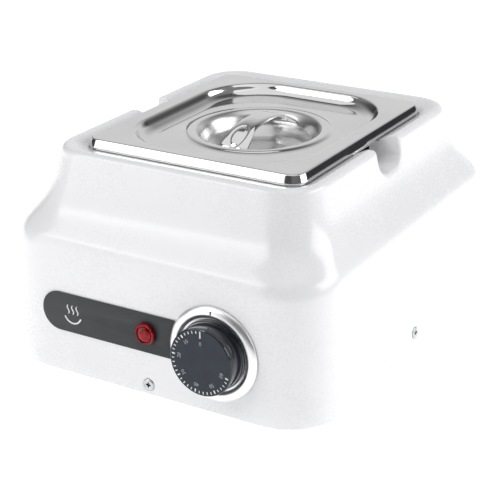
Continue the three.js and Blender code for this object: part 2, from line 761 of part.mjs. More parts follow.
const BULB_Z = 70;
const BULB_RADIUS = 3;
const BULB_Y = -(wellFaceY(BULB_Z) + BULB_RADIUS + 0.6);
const BULB_HALF = 32;

function alongX(geometry) {
  return geometry.rotateY(Math.PI / 2);
}

function sensorBulb() {
  const profile = [[0, -BULB_HALF], [BULB_RADIUS - 1, -BULB_HALF], [BULB_RADIUS, -BULB_HALF + 2],
    [BULB_RADIUS, BULB_HALF - 2], [BULB_RADIUS - 1, BULB_HALF], [0, BULB_HALF]];
  return solid(alongX(turned(profile, 12)).translate(0, BULB_Y, BULB_Z));
}

function bulbClip() {
  const shape = new THREE.Shape();
  const inner = BULB_RADIUS + GAP;
  const outer = inner + 1;
  shape.absarc(0, 0, outer, Math.PI, 2 * Math.PI, false);
  shape.lineTo(outer, 1.9);
  shape.lineTo(outer + 6, 1.9);
  shape.lineTo(outer + 6, 2.7);
  shape.lineTo(inner, 2.7);
  shape.lineTo(inner, 0);
  shape.absarc(0, 0, inner, 2 * Math.PI, Math.PI, true);
  shape.closePath();
  const geometry = slab(shape, 16, 8).translate(0, 0, -8);
  // the bend faces away from the well, its foot lies flat above the bulb
  geometry.applyMatrix4(new THREE.Matrix4().makeBasis(
    new THREE.Vector3(0, 0, 1),
    new THREE.Vector3(0, 1, 0),
    new THREE.Vector3(-1, 0, 0),
  ));
  return solid(geometry.translate(0, BULB_Y, BULB_Z));
}

add(waxBath, 'sensor_bulb', sensorBulb(), copper);
add(waxBath, 'bulb_clip', bulbClip(), zincSteel);

function thermalCutout() {
  const profile = [[0, 1.4], [8, 1.4], [8, 6], [6.5, 7.4], [6.5, 12], [0, 12]];
  const ears = solid(block([26, 8, 1], [0, 0, 1.9]));
  const tabs = [-4, 4].map((x) => solid(block([4.6, 0.8, 9], [x, 0, 15.5])));
  return unite(solid(turned(profile, 16)), ears, ...tabs);
}

const cutoutFrame = new THREE.Group();
cutoutFrame.position.set(CUTOUT_AT[0], wellFaceY(CUTOUT_AT[1]), CUTOUT_AT[1]);
cutoutFrame.rotation.x = -Math.PI / 2 - Math.atan(SIDE_TAPER);
waxBath.add(cutoutFrame);
add(cutoutFrame, 'thermal_cutout', thermalCutout(), blackPlastic);

// ---------------------------------------------- mains entry: gland, terminal block, earth stud

function glandBody() {
  const profile = [
    [GLAND_BORE, -WALL - 9], [GLAND_THREAD, -WALL - 9], [GLAND_THREAD, GAP], [11, GAP], [11, 5],
    [GLAND_THREAD, 5], [GLAND_THREAD, 8.4], [6, 8.4], [6, 3], [GLAND_BORE, 3],
  ];
  return solid(turned(profile, 16));
}

function glandSeal() {
  return solid(turned([[3.6, 3.2], [5.8, 3.2], [5.8, 8.6], [3.6, 8.6]], 12));
}

function glandLocknut() {
  return hexNut(20, GLAND_THREAD + GAP, -WALL - 5, -WALL - GAP);
}

function glandDomeNut() {
  const low = 5 + GAP;
  const profile = [
    [GLAND_THREAD + GAP, low], [10.4, low], [10.4, low + 5], [9.6, low + 7.4], [7.2, GLAND_PROUD],
    [GLAND_BORE, GLAND_PROUD], [GLAND_BORE, 8.8], [GLAND_THREAD + GAP, 8.8],
  ];
  return solid(turned(profile, 16));
}

add(glandFrame, 'cord_gland', glandBody(), blackPlastic);
add(glandFrame, 'cord_gland_locknut', glandLocknut(), blackPlastic);
add(glandFrame, 'cord_gland_seal', glandSeal(), blackRubber);
add(glandFrame, 'cord_gland_dome_nut', glandDomeNut(), blackPlastic);

const TRAY_TOP = TRAY_Z + SHEET;

const POLES = [-1.5, -0.5, 0.5, 1.5].map((place) => place * POLE_PITCH);

function terminalBlock() {
  const base = solid(block([56, 9, 3], [0, 0, 1.5]));
  const body = solid(block([40, 20, 10], [0, 0, 5]));
  const towers = POLES.map((x) => solid(block([7, 13, 6], [x, 0, 12])));
  const screwWells = POLES.map((x) => solid(rod(2.2, 11, 20, 8).translate(x, 0, 0)));
  const bores = POLES.map((x) => {
    const bore = rod(1.9, -20, 20, 8).rotateX(Math.PI / 2);
    return solid(bore.translate(x, 0, 6));
  });
  const fixings = [-1, 1].map((side) => {
    const hole = rod(1.8, -1, 4, 10);
    return solid(hole.translate(side * TERMINAL_SCREW_X, 0, 0));
  });
  return cut(unite(base, body, ...towers), ...screwWells, ...bores, ...fixings);
}

function terminalScrew() {
  const profile = [[0, 5.2], [3, 5.2], [3, 3.2], [1.4, 3.2], [1.4, -4.4], [0, -5]];
  return cut(solid(turned(profile, 10)), solid(block([4.4, 0.8, 1.6], [0, 0, 5.2])));
}

const terminals = new THREE.Group();
terminals.position.set(TERMINAL_AT[0], TERMINAL_AT[1], TRAY_TOP + 0.2);
waxBath.add(terminals);
add(terminals, 'terminal_block', terminalBlock(), cream);
for (const [name, side] of [['left', -1], ['right', 1]]) {
  const screw = add(terminals, `terminal_screw_${name}`, terminalScrew(), zincSteel);
  screw.position.x = side * TERMINAL_SCREW_X;
}

const earth = new THREE.Group();
earth.position.set(EARTH_AT[0], EARTH_AT[1], 0);
waxBath.add(earth);

function earthStud() {
  const profile = [[0, TRAY_Z - 2.6], [3.6, TRAY_Z - 2], [3.6, TRAY_Z - 0.2], [1.9, TRAY_Z - 0.2],
    [1.9, TRAY_TOP + 10], [0, TRAY_TOP + 10]];
  return solid(turned(profile, 12));
}

add(earth, 'earth_stud', earthStud(), brass);
add(earth, 'earth_nut', hexNut(7, 2.1, TRAY_TOP + 0.2, TRAY_TOP + 3.4), brass);

// ---------------------------------------------- capillary and wiring inside the casing

const poleX = (pole) => TERMINAL_AT[0] + POLES[pole];
const POLE_Y = TERMINAL_AT[1] - 8;
const POLE_Z = TRAY_TOP + 6.2;

const TAB_END_Y = -102.6;             // where wires meet the thermostat's tabs
const TAB_Z = 35.8;
const liveTabX = KNOB_X - 10;
const switchedTabX = KNOB_X + 11.5;
const lampTabX = KNOB_X + 8.7;

const capillary = [
  [KNOB_X - 17.7, -122, 52], [29, -121.6, 52.6], [24, -116, 59], [27, -104, 66], [42, -93, 71],
  [44, -84, 70.4], [38, -81.5, 70], [BULB_HALF + GAP, BULB_Y, BULB_Z],
];

const wires = {
  wire_live: [
    [poleX(0), POLE_Y, POLE_Z], [poleX(0), 78, 14], [-90, 40, 12], [-90, -40, 12], [-62, -94, 12],
    [0, -100, 14], [30, -94, 24], [liveTabX, -94, 34], [liveTabX, TAB_END_Y, TAB_Z],
  ],
  wire_switched: [
    [switchedTabX, TAB_END_Y, TAB_Z], [switchedTabX, -94, 34], [74, -84, 22], [94, -50, 16], [96, 20, 16],
    [90, 74, 28], [66, 104, 56], [42, 110, 71], [34, 105, 72.3], [34, 98.4, 72.5],
  ],
  wire_heater_live: [
    [26, 98.4, 72.5], [26, 105, 71.5], [18, 107, 54], [7, 92, 38], [5, 79, 38.6], [5, 70.4, 39.4],
  ],
  wire_heater_neutral: [
    [-5, 70.4, 39.4], [-5, 78, 37], [-18, 84, 26], [-46, 80, 15.5], [poleX(2), 84, 14.2],
    [poleX(2), POLE_Y, POLE_Z],
  ],
  wire_lamp_live: [
    [3, -112.3, 47], [3, -109, 47], [10, -100, 46], [34, -94, 45], [52, -92, 43], [58, -94, 38],
    [lampTabX, -99, 35.9], [lampTabX, TAB_END_Y, TAB_Z],
  ],
  wire_lamp_neutral: [
    [-3, -112.3, 47], [-3, -109, 46.6], [-34, -98, 24], [-82, -76, 18], [-97, -30, 18], [-97, 40, 18],
    [-80, 74, 17], [poleX(1), 82, 14.4], [poleX(1), POLE_Y, POLE_Z],
  ],
  wire_earth: [
    [poleX(3), POLE_Y, POLE_Z], [poleX(3), 84, 14], [-38, 80, 13.4], [-28, 90, 14],
    [EARTH_AT[0], 100.4, 14.6],
  ],
};

add(waxBath, 'sensor_capillary', tube(capillary, 0.9, 20), copper);
for (const [name, points] of Object.entries(wires)) {
  const finish = name === 'wire_earth' ? earthInsulation : wireInsulation;
  add(waxBath, name, tube(points, WIRE_RADIUS, 3 * points.length), finish);
}

// ---------------------------------------------- lift-out pan

function panLevel(z, inset) {
  const taper = SIDE_TAPER * (PAN_TOP_Z - z);
  const corner = PAN_MOUTH_CORNER - 0.5 * taper - inset;
  return ring(PAN_MOUTH_HALF.map((half) => half - taper - inset), corner, z);
}

// Outer surface from the middle of the floor up and out to the flange's edge, then back down the inside.
function liftOutPan() {
  const top = PAN_TOP_Z;
  const floor = top - PAN_DEPTH;
  const foot = LEDGE_Z + 0.15;          // lower edge of the turned-down flange
  const flange = (inset, z) => {
    const half = LID_HALF.map((size) => size - FLANGE_INSET - inset);
    return ring(half, LID_CORNER - FLANGE_INSET - inset, z);
  };
  const outer = [
    disc(0, floor),
    panLevel(floor, 9),
    panLevel(floor + 2.4, 3),
    panLevel(floor + 8, 0),
    panLevel(top - 3, 0),
    ring(PAN_MOUTH_HALF.map((half) => half + 1), PAN_MOUTH_CORNER + 1, top - SHEET),
    flange(SHEET, top - SHEET),
    flange(SHEET, foot),
    flange(0, foot),
    flange(0, top - 0.7),
    flange(0.7, top),
  ];
  const inner = [
    ring(PAN_MOUTH_HALF, PAN_MOUTH_CORNER, top),
    panLevel(top - 3.4, SHEET),
    panLevel(floor + 8, SHEET),
    panLevel(floor + 2.9, 3.7),
    panLevel(floor + SHEET, 9.5),
    disc(0, floor + SHEET),
  ];
  return solid(spreadLathe([...outer, ...inner], 6));
}

add(waxBath, 'lift_out_pan', liftOutPan(), steel);

// ---------------------------------------------- lid

const RECESS_Z = LID_Z - RECESS_DEPTH;
const DISH_Z = RECESS_Z - DISH_DEPTH;

// Top surface from the middle of the dish out to the edge; the underside is the same lines one sheet lower.
function lidLevels(drop) {
  const wide = drop * 0.7;
  return [
    disc(24 + wide, DISH_Z - drop),
    disc(32 + wide, DISH_Z + 2.4 - drop),
    disc(37.5 + wide, DISH_Z + 8 - drop),
    disc(40.5 + wide, RECESS_Z - 2 - drop),
    disc(DISH_RADIUS + wide, RECESS_Z + 0.6 - drop),
    disc(45, RECESS_Z + 1.1 - drop),
    disc(49, RECESS_Z + 1.1 - drop),
    disc(51, RECESS_Z - drop),
    ring([59.5 + wide, 70 + wide], 38, RECESS_Z - drop),
    ring([63.5 + wide, 74 + wide], 41, RECESS_Z + 0.8 - drop),
    ring([66.6 + wide, 77.2 + wide], 43, RECESS_Z + 2.8 - drop),
    ring([68.4 + wide, 79 + wide], 44, LID_Z - 1 - drop),
    ring([69.8 + wide, 80.5 + wide], 45, LID_Z - drop),
  ];
}

function lidCover() {
  const foot = LID_Z - LID_EDGE;
  const edge = (inset, z) => ring(LID_HALF.map((half) => half - inset), LID_CORNER - inset, z);
  const top = [
    disc(0, DISH_Z),
    ...lidLevels(0),
    edge(LID_LIP + 1, LID_Z),
    edge(LID_LIP + 0.25, LID_Z - 0.35),
    edge(LID_LIP, LID_Z - 1.1),
    edge(LID_LIP, foot + 1.2),
    edge(0, foot + 0.6),
    edge(0, foot),
  ];
  const under = [
    edge(LID_LIP + SHEET, foot),
    edge(LID_LIP + SHEET, LID_Z - SHEET),
    ...lidLevels(SHEET).reverse(),
    disc(0, DISH_Z - SHEET),
  ];
  return solid(spreadLathe([...top, ...under], 6));
}

add(waxBath, 'lid', lidCover(), steel);

// Side view of the strap: an arch whose ends run down inside the dish, drawn as [y, z] for one half.
function strapLine() {
  const crown = LID_Z + STRAP_PROUD;
  return [
    [0, crown], [12, crown - 0.7], [21, crown - 3], [28.5, crown - 6.6],
    [33.5, crown - 10.2], [35.9, crown - 13], [36.3, crown - 15.5],
  ];
}

function lidHandle() {
  const half = strapLine();
  const points = [...half.slice(1).reverse().map(([y, z]) => [-y, z]), ...half];
  const line = new THREE.SplineCurve(points.map(([y, z]) => new THREE.Vector2(y, z))).getPoints(22);
  const under = line.map((point, i) => {
    const before = line[Math.max(i - 1, 0)];
    const after = line[Math.min(i + 1, line.length - 1)];
    const along = after.clone().sub(before).normalize();
    return new THREE.Vector2(point.x + STRAP_SHEET * along.y, point.y - STRAP_SHEET * along.x);
  });
  const side = slab(new THREE.Shape([...line, ...under.reverse()]), STRAP_FLARE + 2);
  side.translate(0, 0, -STRAP_FLARE / 2 - 1);
  // the drawing's first axis becomes Y, its second Z and its depth X
  side.applyMatrix4(new THREE.Matrix4().makeBasis(
    new THREE.Vector3(0, 1, 0),
    new THREE.Vector3(0, 0, 1),
    new THREE.Vector3(1, 0, 0),
  ));
  const plan = new THREE.Shape();
  const waist = STRAP_WIDTH / 2;
  const flare = STRAP_FLARE / 2;
  plan.moveTo(flare, -45);
  plan.lineTo(flare, -37);
  plan.bezierCurveTo(flare, -28, waist, -26, waist, -14);
  plan.lineTo(waist, 14);
  plan.bezierCurveTo(waist, 26, flare, 28, flare, 37);
  plan.lineTo(flare, 45);
  plan.lineTo(-flare, 45);
  plan.lineTo(-flare, 37);
  plan.bezierCurveTo(-flare, 28, -waist, 26, -waist, 14);
  plan.lineTo(-waist, -14);
  plan.bezierCurveTo(-waist, -26, -flare, -28, -flare, -37);
  plan.lineTo(-flare, -45);
  const outline = solid(slab(plan, 60, 4).translate(0, 0, LID_Z - 40));
  return solid(side).intersect(outline);
}

add(waxBath, 'lid_handle', lidHandle(), steel);

export default waxBath;
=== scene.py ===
"""Paraffin wax bath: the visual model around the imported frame.

Shapes are drawn in millimetres and made in metres.
"""

import math

import bmesh
import bpy
from mathutils import Matrix, Vector, noise


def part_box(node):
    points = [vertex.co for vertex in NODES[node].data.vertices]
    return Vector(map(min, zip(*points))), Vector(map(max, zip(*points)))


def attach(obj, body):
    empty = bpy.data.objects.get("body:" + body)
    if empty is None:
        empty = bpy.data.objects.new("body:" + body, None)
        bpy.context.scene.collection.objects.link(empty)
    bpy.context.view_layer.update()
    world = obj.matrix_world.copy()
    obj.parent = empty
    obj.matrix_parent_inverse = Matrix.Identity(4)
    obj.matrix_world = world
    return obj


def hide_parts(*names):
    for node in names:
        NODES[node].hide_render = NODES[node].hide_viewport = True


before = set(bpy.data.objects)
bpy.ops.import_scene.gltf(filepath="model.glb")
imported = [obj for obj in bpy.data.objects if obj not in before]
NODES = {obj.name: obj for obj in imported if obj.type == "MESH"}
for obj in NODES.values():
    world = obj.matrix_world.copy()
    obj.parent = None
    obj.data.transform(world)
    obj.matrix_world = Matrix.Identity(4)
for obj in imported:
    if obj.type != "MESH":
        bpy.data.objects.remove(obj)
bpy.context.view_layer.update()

MM = 0.001

# ------------------------ dimensions, millimetres

# HALF is half the size of a rounded rectangle in x and y, CORNER its corner radius, Z a height above the
# table. GAP is the clearance between pieces that are made apart.

RIM_HALF = (98.2, 110.8)
SHOULDER_HALF = (119.5, 140.6)
RIM_CORNER = 27.0
SHOULDER_CORNER = 36.5
SKIRT_DRAFT = 0.0325
WALL = 3.0
RIM_Z = 147.4
RIM_ROUND = 4.0
RIM_CREST = 5.0
RIM_INNER_Z = 143.0
SKIRT_TOP_Z = 87.0
SKIRT_FOOT_Z = 4.0
LEDGE_Z = 141.5
REBATE_HALF = (83.3, 90.3)
REBATE_CORNER = 11.0
OPENING_HALF = (76.0, 83.0)
OPENING_CORNER = 26.0
COLLAR_Z = 123.0
NOTCH_HALF = 16.0
NOTCH_ROUND = 11.5
NOTCH_Z = 128.4
NOTCH_Y = 2.5
NOTCH_EDGE = 2.2
LID_HALF = (81.0, 88.0)
LID_CORNER = 9.0
LID_FLARE = 2.0
FLANGE_OUTSET = 0.4
PAN_MOUTH_HALF = (70.5, 80.0)
PAN_MOUTH_CORNER = 26.0
PAN_DEPTH = 100.0
PAN_TAPER = 0.075
PAN_TOP_Z = 143.9
SHEET = 1.0
LID_Z = 149.9
LID_EDGE = 5.8
RECESS_Z = 142.4
DISH_Z = 125.4
DISH_RADIUS = 43.5
STRAP_SHEET = 1.2
KNOB_X = 50.4
KNOB_Z = 45.7
KNOB_RADIUS = 22.8
KNOB_FACE = 15.3
BEZEL_RADIUS = 32.0
GAP = 0.3
LABEL_Z = 48.0
LABEL_HALF_HEIGHT = 13.7
LABEL_LEFT = -69.8
LABEL_SHEET = 0.5
LAMP_X = 0.0
LAMP_HOLE = 6.2
SPINDLE_HOLE = 5.2
GLAND_X = -70.0
GLAND_Z = 34.0
GLAND_THREAD = 7.6
GLAND_BORE = 4.0
GLAND_PROUD = 15.5
SCREW_Z = {"front": 11.2, "right": 15.2, "rear": 11.2, "left": 15.2}
FOOT_AT = (92.0, 112.0)
WELL_HALF = (74.6, 81.6)
WELL_CORNER = 27.0
WELL_TOP_Z = 121.0
WELL_FLOOR_Z = 42.2
WELL_SHEET = 1.5
BOSS_AT = (50.0, 96.0)
EAR_WIDTH = 14.0
EAR_MARGIN = 6.0
WELL_FLANGE = 5.0
WELL_SCREW_HOLE = 2.1

# ------------------------ shader nodes


def coordinates_of(tree, stretch):
    place = tree.nodes.new("ShaderNodeTexCoord")
    mapping = tree.nodes.new("ShaderNodeMapping")
    mapping.inputs["Scale"].default_value = stretch
    tree.links.new(place.outputs["Object"], mapping.inputs["Vector"])
    return mapping.outputs["Vector"]


def noise_of(tree, vector, scale):
    texture = tree.nodes.new("ShaderNodeTexNoise")
    texture.inputs["Scale"].default_value = scale
    texture.inputs["Detail"].default_value = 3
    texture.inputs["Roughness"].default_value = 0.55
    tree.links.new(vector, texture.inputs["Vector"])
    return texture.outputs["Fac"]


def ramp_of(tree, value, low, high, start=0.3, end=0.7):
    ramp = tree.nodes.new("ShaderNodeValToRGB")
    ramp.color_ramp.elements[0].position = start
    ramp.color_ramp.elements[0].color = (*low, 1)
    ramp.color_ramp.elements[1].position = end
    ramp.color_ramp.elements[1].color = (*high, 1)
    tree.links.new(value, ramp.inputs["Fac"])
    return ramp.outputs["Color"]


def range_of(tree, value, low, high, start=0.3, end=0.7):
    spread = tree.nodes.new("ShaderNodeMapRange")
    spread.inputs["From Min"].default_value = start
    spread.inputs["From Max"].default_value = end
    spread.inputs["To Min"].default_value = low
    spread.inputs["To Max"].default_value = high
    tree.links.new(value, spread.inputs["Value"])
    return spread.outputs["Result"]


def bump_of(tree, value, strength, distance):
    bump = tree.nodes.new("ShaderNodeBump")
    bump.inputs["Strength"].default_value = strength
    bump.inputs["Distance"].default_value = distance
    tree.links.new(value, bump.inputs["Height"])
    return bump.outputs["Normal"]


def stripes_of(tree, vector, scale):
    wave = tree.nodes.new("ShaderNodeTexWave")
    wave.wave_type = "BANDS"
    wave.bands_direction = "DIAGONAL"
    wave.inputs["Scale"].default_value = scale
    tree.links.new(vector, wave.inputs["Vector"])
    return wave.outputs["Fac"]


def math_of(tree, operation, *values):
    """A math node; each value is a number or another node's output."""
    node = tree.nodes.new("ShaderNodeMath")
    node.operation = operation
    for socket, value in zip(node.inputs, values):
        if isinstance(value, float):
            socket.default_value = value
        else:
            tree.links.new(value, socket)
    return node.outputs[0]


def mix_of(tree, share, first, second):
    """Two colours mixed; each is a plain colour or another node's output."""
    mix = tree.nodes.new("ShaderNodeMix")
    mix.data_type = "RGBA"
    tree.links.new(share, mix.inputs[0])
    for socket, value in zip(mix.inputs[6:8], (first, second)):
        if isinstance(value, tuple):
            socket.default_value = (*value, 1)
        else:
            tree.links.new(value, socket)
    return mix.outputs[2]


# ------------------------ camera, light and floor

CAMERA_AZIMUTH = 30.413
CAMERA_ELEVATION = 22.721
CAMERA_ROLL = -0.782
CAMERA_TARGET = Vector((0.03001, -0.0236, 0.074))
CAMERA_DISTANCE = 0.951087
CAMERA_LENS = 99.787
CAMERA_SHIFT = (-0.0615, -0.019)
STUDIO_STRENGTH = 0.78
FLOOR_REACH = 6.0
FLOOR_STEPS = 8


def make_camera():
    data = bpy.data.cameras.new("view_camera")
    data.lens = CAMERA_LENS
    data.shift_x, data.shift_y = CAMERA_SHIFT
    data.clip_start = 0.05
    data.clip_end = 50
    camera = bpy.data.objects.new("view_camera", data)
    bpy.context.scene.collection.objects.link(camera)
    azimuth = math.radians(CAMERA_AZIMUTH)
    elevation = math.radians(CAMERA_ELEVATION)
    roll = math.radians(CAMERA_ROLL)
    flat = math.cos(elevation)
    back = Vector((math.sin(azimuth) * flat, -math.cos(azimuth) * flat, math.sin(elevation)))
    right = Vector((math.cos(azimuth), math.sin(azimuth), 0))
    up = back.cross(right)
    tilted_right = math.cos(roll) * right + math.sin(roll) * up
    tilted_up = math.cos(roll) * up - math.sin(roll) * right
    turn = Matrix((tilted_right, tilted_up, back)).transposed().to_4x4()
    camera.matrix_world = Matrix.Translation(CAMERA_TARGET + back * CAMERA_DISTANCE) @ turn
    bpy.context.scene.camera = camera


def area_light(name, place, aim, size, power):
    data = bpy.data.lights.new(name, "AREA")
    data.shape = "RECTANGLE"
    data.size, data.size_y = size
    data.energy = power
    light = bpy.data.objects.new(name, data)
    bpy.context.scene.collection.objects.link(light)
    direction = Vector(aim) - Vector(place)
    light.matrix_world = Matrix.Translation(place) @ direction.to_track_quat("-Z", "Y").to_matrix().to_4x4()


def make_world():
    """Pale behind, dim high up, to both sides and towards the camera, as in a small studio."""
    world = bpy.data.worlds.new("studio")
    world.use_nodes = True
    tree = world.node_tree
    direction = tree.nodes.new("ShaderNodeTexCoord")
    split = tree.nodes.new("ShaderNodeSeparateXYZ")
    tree.links.new(direction.outputs["Generated"], split.inputs[0])
    x, y, z = split.outputs
    wall = ramp_of(tree, z, (1, 1, 1), (0.12, 0.12, 0.125), 0.35, 0.80)
    behind = range_of(tree, y, 0, 1, -0.45, 0.05)
    room = mix_of(tree, behind, (0.10, 0.10, 0.105), wall)
    screen = ramp_of(tree, z, (0.05, 0.05, 0.055), (0.12, 0.12, 0.125), 0.08, 0.30)
    screen.node.color_ramp.elements.new(0.55).color = (0.30, 0.30, 0.305, 1)
    to_right = range_of(tree, x, 0, 1, 0.15, 0.40)
    to_left = range_of(tree, x, 0, 1, -0.65, -0.85)
    beside = math_of(tree, "MAXIMUM", to_right, to_left)
    background = tree.nodes["Background"]
    background.inputs["Strength"].default_value = STUDIO_STRENGTH
    tree.links.new(mix_of(tree, beside, room, screen), background.inputs["Color"])
    bpy.context.scene.world = world


make_camera()
make_world()
area_light("top_softbox", (-0.10, -0.15, 1.25), (0, 0, 0.1), (1.6, 1.3), 5.6)
area_light("left_softbox", (-1.05, -1.30, 0.62), (0, -0.05, 0.08), (1.0, 1.3), 7.6)
area_light("high_softbox", (-0.89, -1.13, 1.34), (0, 0, 0.1), (0.9, 0.6), 6.5)
area_light("right_softbox", (1.50, 0.58, 0.85), (0.05, 0, 0.08), (1.5, 0.9), 18)

# ------------------------ materials


def surface(name, low, high, rough, blotch, grain, relief, depth, stretch=(1, 1, 1), stripes=0, **sockets):
    """A finish over a fine grain.

    Its colour drifts from low to high with a soft noise, or turns from one to the other in stripes. Its
    roughness drifts too. Blotch, grain and stripes are texture scales, relief and depth are the bump's.
    """
    material = bpy.data.materials.new(name)
    material.use_nodes = True
    tree = material.node_tree
    shader = tree.nodes["Principled BSDF"]
    place = coordinates_of(tree, (1, 1, 1))
    soft = noise_of(tree, place, blotch)
    if stripes:
        color = ramp_of(tree, stripes_of(tree, place, stripes), low, high, 0.48, 0.52)
    else:
        color = ramp_of(tree, soft, low, high)
    fine = noise_of(tree, coordinates_of(tree, stretch), grain)
    both = math_of(tree, "MULTIPLY_ADD", fine, 0.5, math_of(tree, "MULTIPLY", soft, 0.5))
    tree.links.new(color, shader.inputs["Base Color"])
    tree.links.new(range_of(tree, both, *rough), shader.inputs["Roughness"])
    tree.links.new(bump_of(tree, fine, relief, depth), shader.inputs["Normal"])
    for key, value in sockets.items():
        shader.inputs[key.replace("_", " ")].default_value = value
    return material


LOOKS = {
    "casing_white": dict(
        low=(0.855, 0.858, 0.875), high=(0.878, 0.881, 0.895), rough=(0.24, 0.32), blotch=14, grain=700,
        relief=0.02, depth=0.00003, Coat_Weight=0.35, Coat_Roughness=0.06, IOR=1.5,
    ),
    "stainless_steel": dict(
        low=(0.70, 0.70, 0.70), high=(0.76, 0.76, 0.755), rough=(0.05, 0.12), blotch=30, grain=160,
        stretch=(1, 14, 1), relief=0.03, depth=0.00004, Metallic=1.0,
    ),
    "dish_satin": dict(
        low=(0.62, 0.62, 0.62), high=(0.70, 0.70, 0.695), rough=(0.26, 0.33), blotch=60, grain=200,
        relief=0.06, depth=0.00005, Metallic=1.0,
    ),
    "bezel_chrome": dict(
        low=(0.84, 0.85, 0.86), high=(0.90, 0.90, 0.91), rough=(0.30, 0.40), blotch=90, grain=900,
        relief=0.02, depth=0.00003, Metallic=1.0,
    ),
    "knob_slate": dict(
        low=(0.016, 0.023, 0.034), high=(0.023, 0.032, 0.045), rough=(0.46, 0.58), blotch=120, grain=2600,
        relief=0.3, depth=0.00005, Specular_IOR_Level=0.35,
    ),
    "label_film": dict(
        low=(0.026, 0.029, 0.033), high=(0.036, 0.039, 0.044), rough=(0.40, 0.52), blotch=60, grain=3500,
        relief=0.2, depth=0.00004, Specular_IOR_Level=0.4,
    ),
    "lens_red": dict(
        low=(0.05, 0.001, 0.002), high=(0.50, 0.004, 0.012), rough=(0.08, 0.16), blotch=360, grain=1800,
        relief=0.1, depth=0.00005, Transmission_Weight=0.1, IOR=1.49, Specular_IOR_Level=0.25,
    ),
    "well_aluminium": dict(
        low=(0.60, 0.61, 0.62), high=(0.72, 0.73, 0.74), rough=(0.34, 0.5), blotch=30, grain=260,
        stretch=(1, 1, 22), relief=0.25, depth=0.0001, Metallic=1.0,
    ),
    "zinc_steel": dict(
        low=(0.50, 0.51, 0.52), high=(0.70, 0.71, 0.70), rough=(0.26, 0.46), blotch=160, grain=1200,
        relief=0.2, depth=0.00008, Metallic=1.0,
    ),
    "foot_rubber": dict(
        low=(0.012, 0.012, 0.013), high=(0.030, 0.030, 0.031), rough=(0.7, 0.92), blotch=200, grain=2200,
        relief=0.6, depth=0.0001,
    ),
    "silicone_red": dict(
        low=(0.40, 0.055, 0.025), high=(0.50, 0.085, 0.040), rough=(0.5, 0.68), blotch=90, grain=1500,
        relief=0.4, depth=0.0001,
    ),
    "silicone_grey": dict(
        low=(0.26, 0.26, 0.27), high=(0.34, 0.34, 0.35), rough=(0.5, 0.68), blotch=90, grain=1500,
        relief=0.4, depth=0.0001,
    ),
    # the near-black, non-metallic colour of the screws' cross recesses is painted shade, not the steel's own
    # colour
    "recess_painted_shade": dict(
        low=(0.020, 0.020, 0.021), high=(0.035, 0.035, 0.036), rough=(0.4, 0.6), blotch=200, grain=1400,
        relief=0.2, depth=0.00006,
    ),
    "insulation_wool": dict(
        low=(0.62, 0.58, 0.48), high=(0.80, 0.77, 0.68), rough=(0.85, 1.0), blotch=220, grain=900,
        stretch=(1, 1, 4), relief=0.9, depth=0.0006, Sheen_Weight=0.3,
    ),
    "electrical_cream": dict(
        low=(0.66, 0.63, 0.55), high=(0.74, 0.71, 0.63), rough=(0.36, 0.5), blotch=70, grain=1700,
        relief=0.25, depth=0.00006,
    ),
    "gland_black": dict(
        low=(0.011, 0.011, 0.012), high=(0.022, 0.022, 0.024), rough=(0.34, 0.5), blotch=120, grain=2400,
        relief=0.4, depth=0.00006,
    ),
    "copper_tube": dict(
        low=(0.48, 0.20, 0.10), high=(0.66, 0.32, 0.18), rough=(0.26, 0.42), blotch=150, grain=900,
        relief=0.2, depth=0.00006, Metallic=1.0,
    ),
    "brass_fitting": dict(
        low=(0.55, 0.40, 0.16), high=(0.70, 0.53, 0.24), rough=(0.24, 0.4), blotch=150, grain=900,
        relief=0.2, depth=0.00006, Metallic=1.0,
    ),
    "wire_white": dict(
        low=(0.70, 0.69, 0.66), high=(0.80, 0.79, 0.76), rough=(0.4, 0.55), blotch=200, grain=2600,
        relief=0.3, depth=0.00005,
    ),
    "wire_earth_green": dict(
        low=(0.07, 0.30, 0.03), high=(0.72, 0.62, 0.03), rough=(0.4, 0.55), blotch=200, grain=2600,
        relief=0.3, depth=0.00005, stripes=90,
    ),
    "knob_gloss": dict(
        low=(0.010, 0.013, 0.019), high=(0.017, 0.022, 0.031), rough=(0.06, 0.12), blotch=150, grain=2000,
        relief=0.05, depth=0.00003, Coat_Weight=0.2, Coat_Roughness=0.03,
    ),
    "print_white": dict(
        low=(0.70, 0.71, 0.72), high=(0.84, 0.84, 0.85), rough=(0.45, 0.6), blotch=600, grain=4000,
        relief=0.2, depth=0.00003,
    ),
    "print_grey": dict(
        low=(0.30, 0.31, 0.33), high=(0.40, 0.41, 0.43), rough=(0.45, 0.6), blotch=600, grain=4000,
        relief=0.2, depth=0.00003,
    ),
    "floor_pale": dict(
        low=(0.80, 0.80, 0.80), high=(0.82, 0.82, 0.82), rough=(0.75, 0.85), blotch=2, grain=60,
        relief=0.05, depth=0.0002, Emission_Color=(1, 1, 1, 1), Emission_Strength=0.62,
    ),
}
FINISH = {name: surface(name, **look) for name, look in LOOKS.items()}


def make_floor():
    marks = [FLOOR_REACH * (2 * i / FLOOR_STEPS - 1) for i in range(FLOOR_STEPS + 1)]
    points = [(x, y, 0) for y in marks for x in marks]
    row = FLOOR_STEPS + 1
    starts = [j * row + i for j in range(FLOOR_STEPS) for i in range(FLOOR_STEPS)]
    faces = [(start, start + 1, start + row + 1, start + row) for start in starts]
    mesh = bpy.data.meshes.new("studio_floor")
    mesh.from_pydata(points, [], faces)
    floor = bpy.data.objects.new("studio_floor", mesh)
    bpy.context.scene.collection.objects.link(floor)
    mesh.materials.append(FINISH["floor_pale"])


make_floor()

# ------------------------ mesh helpers


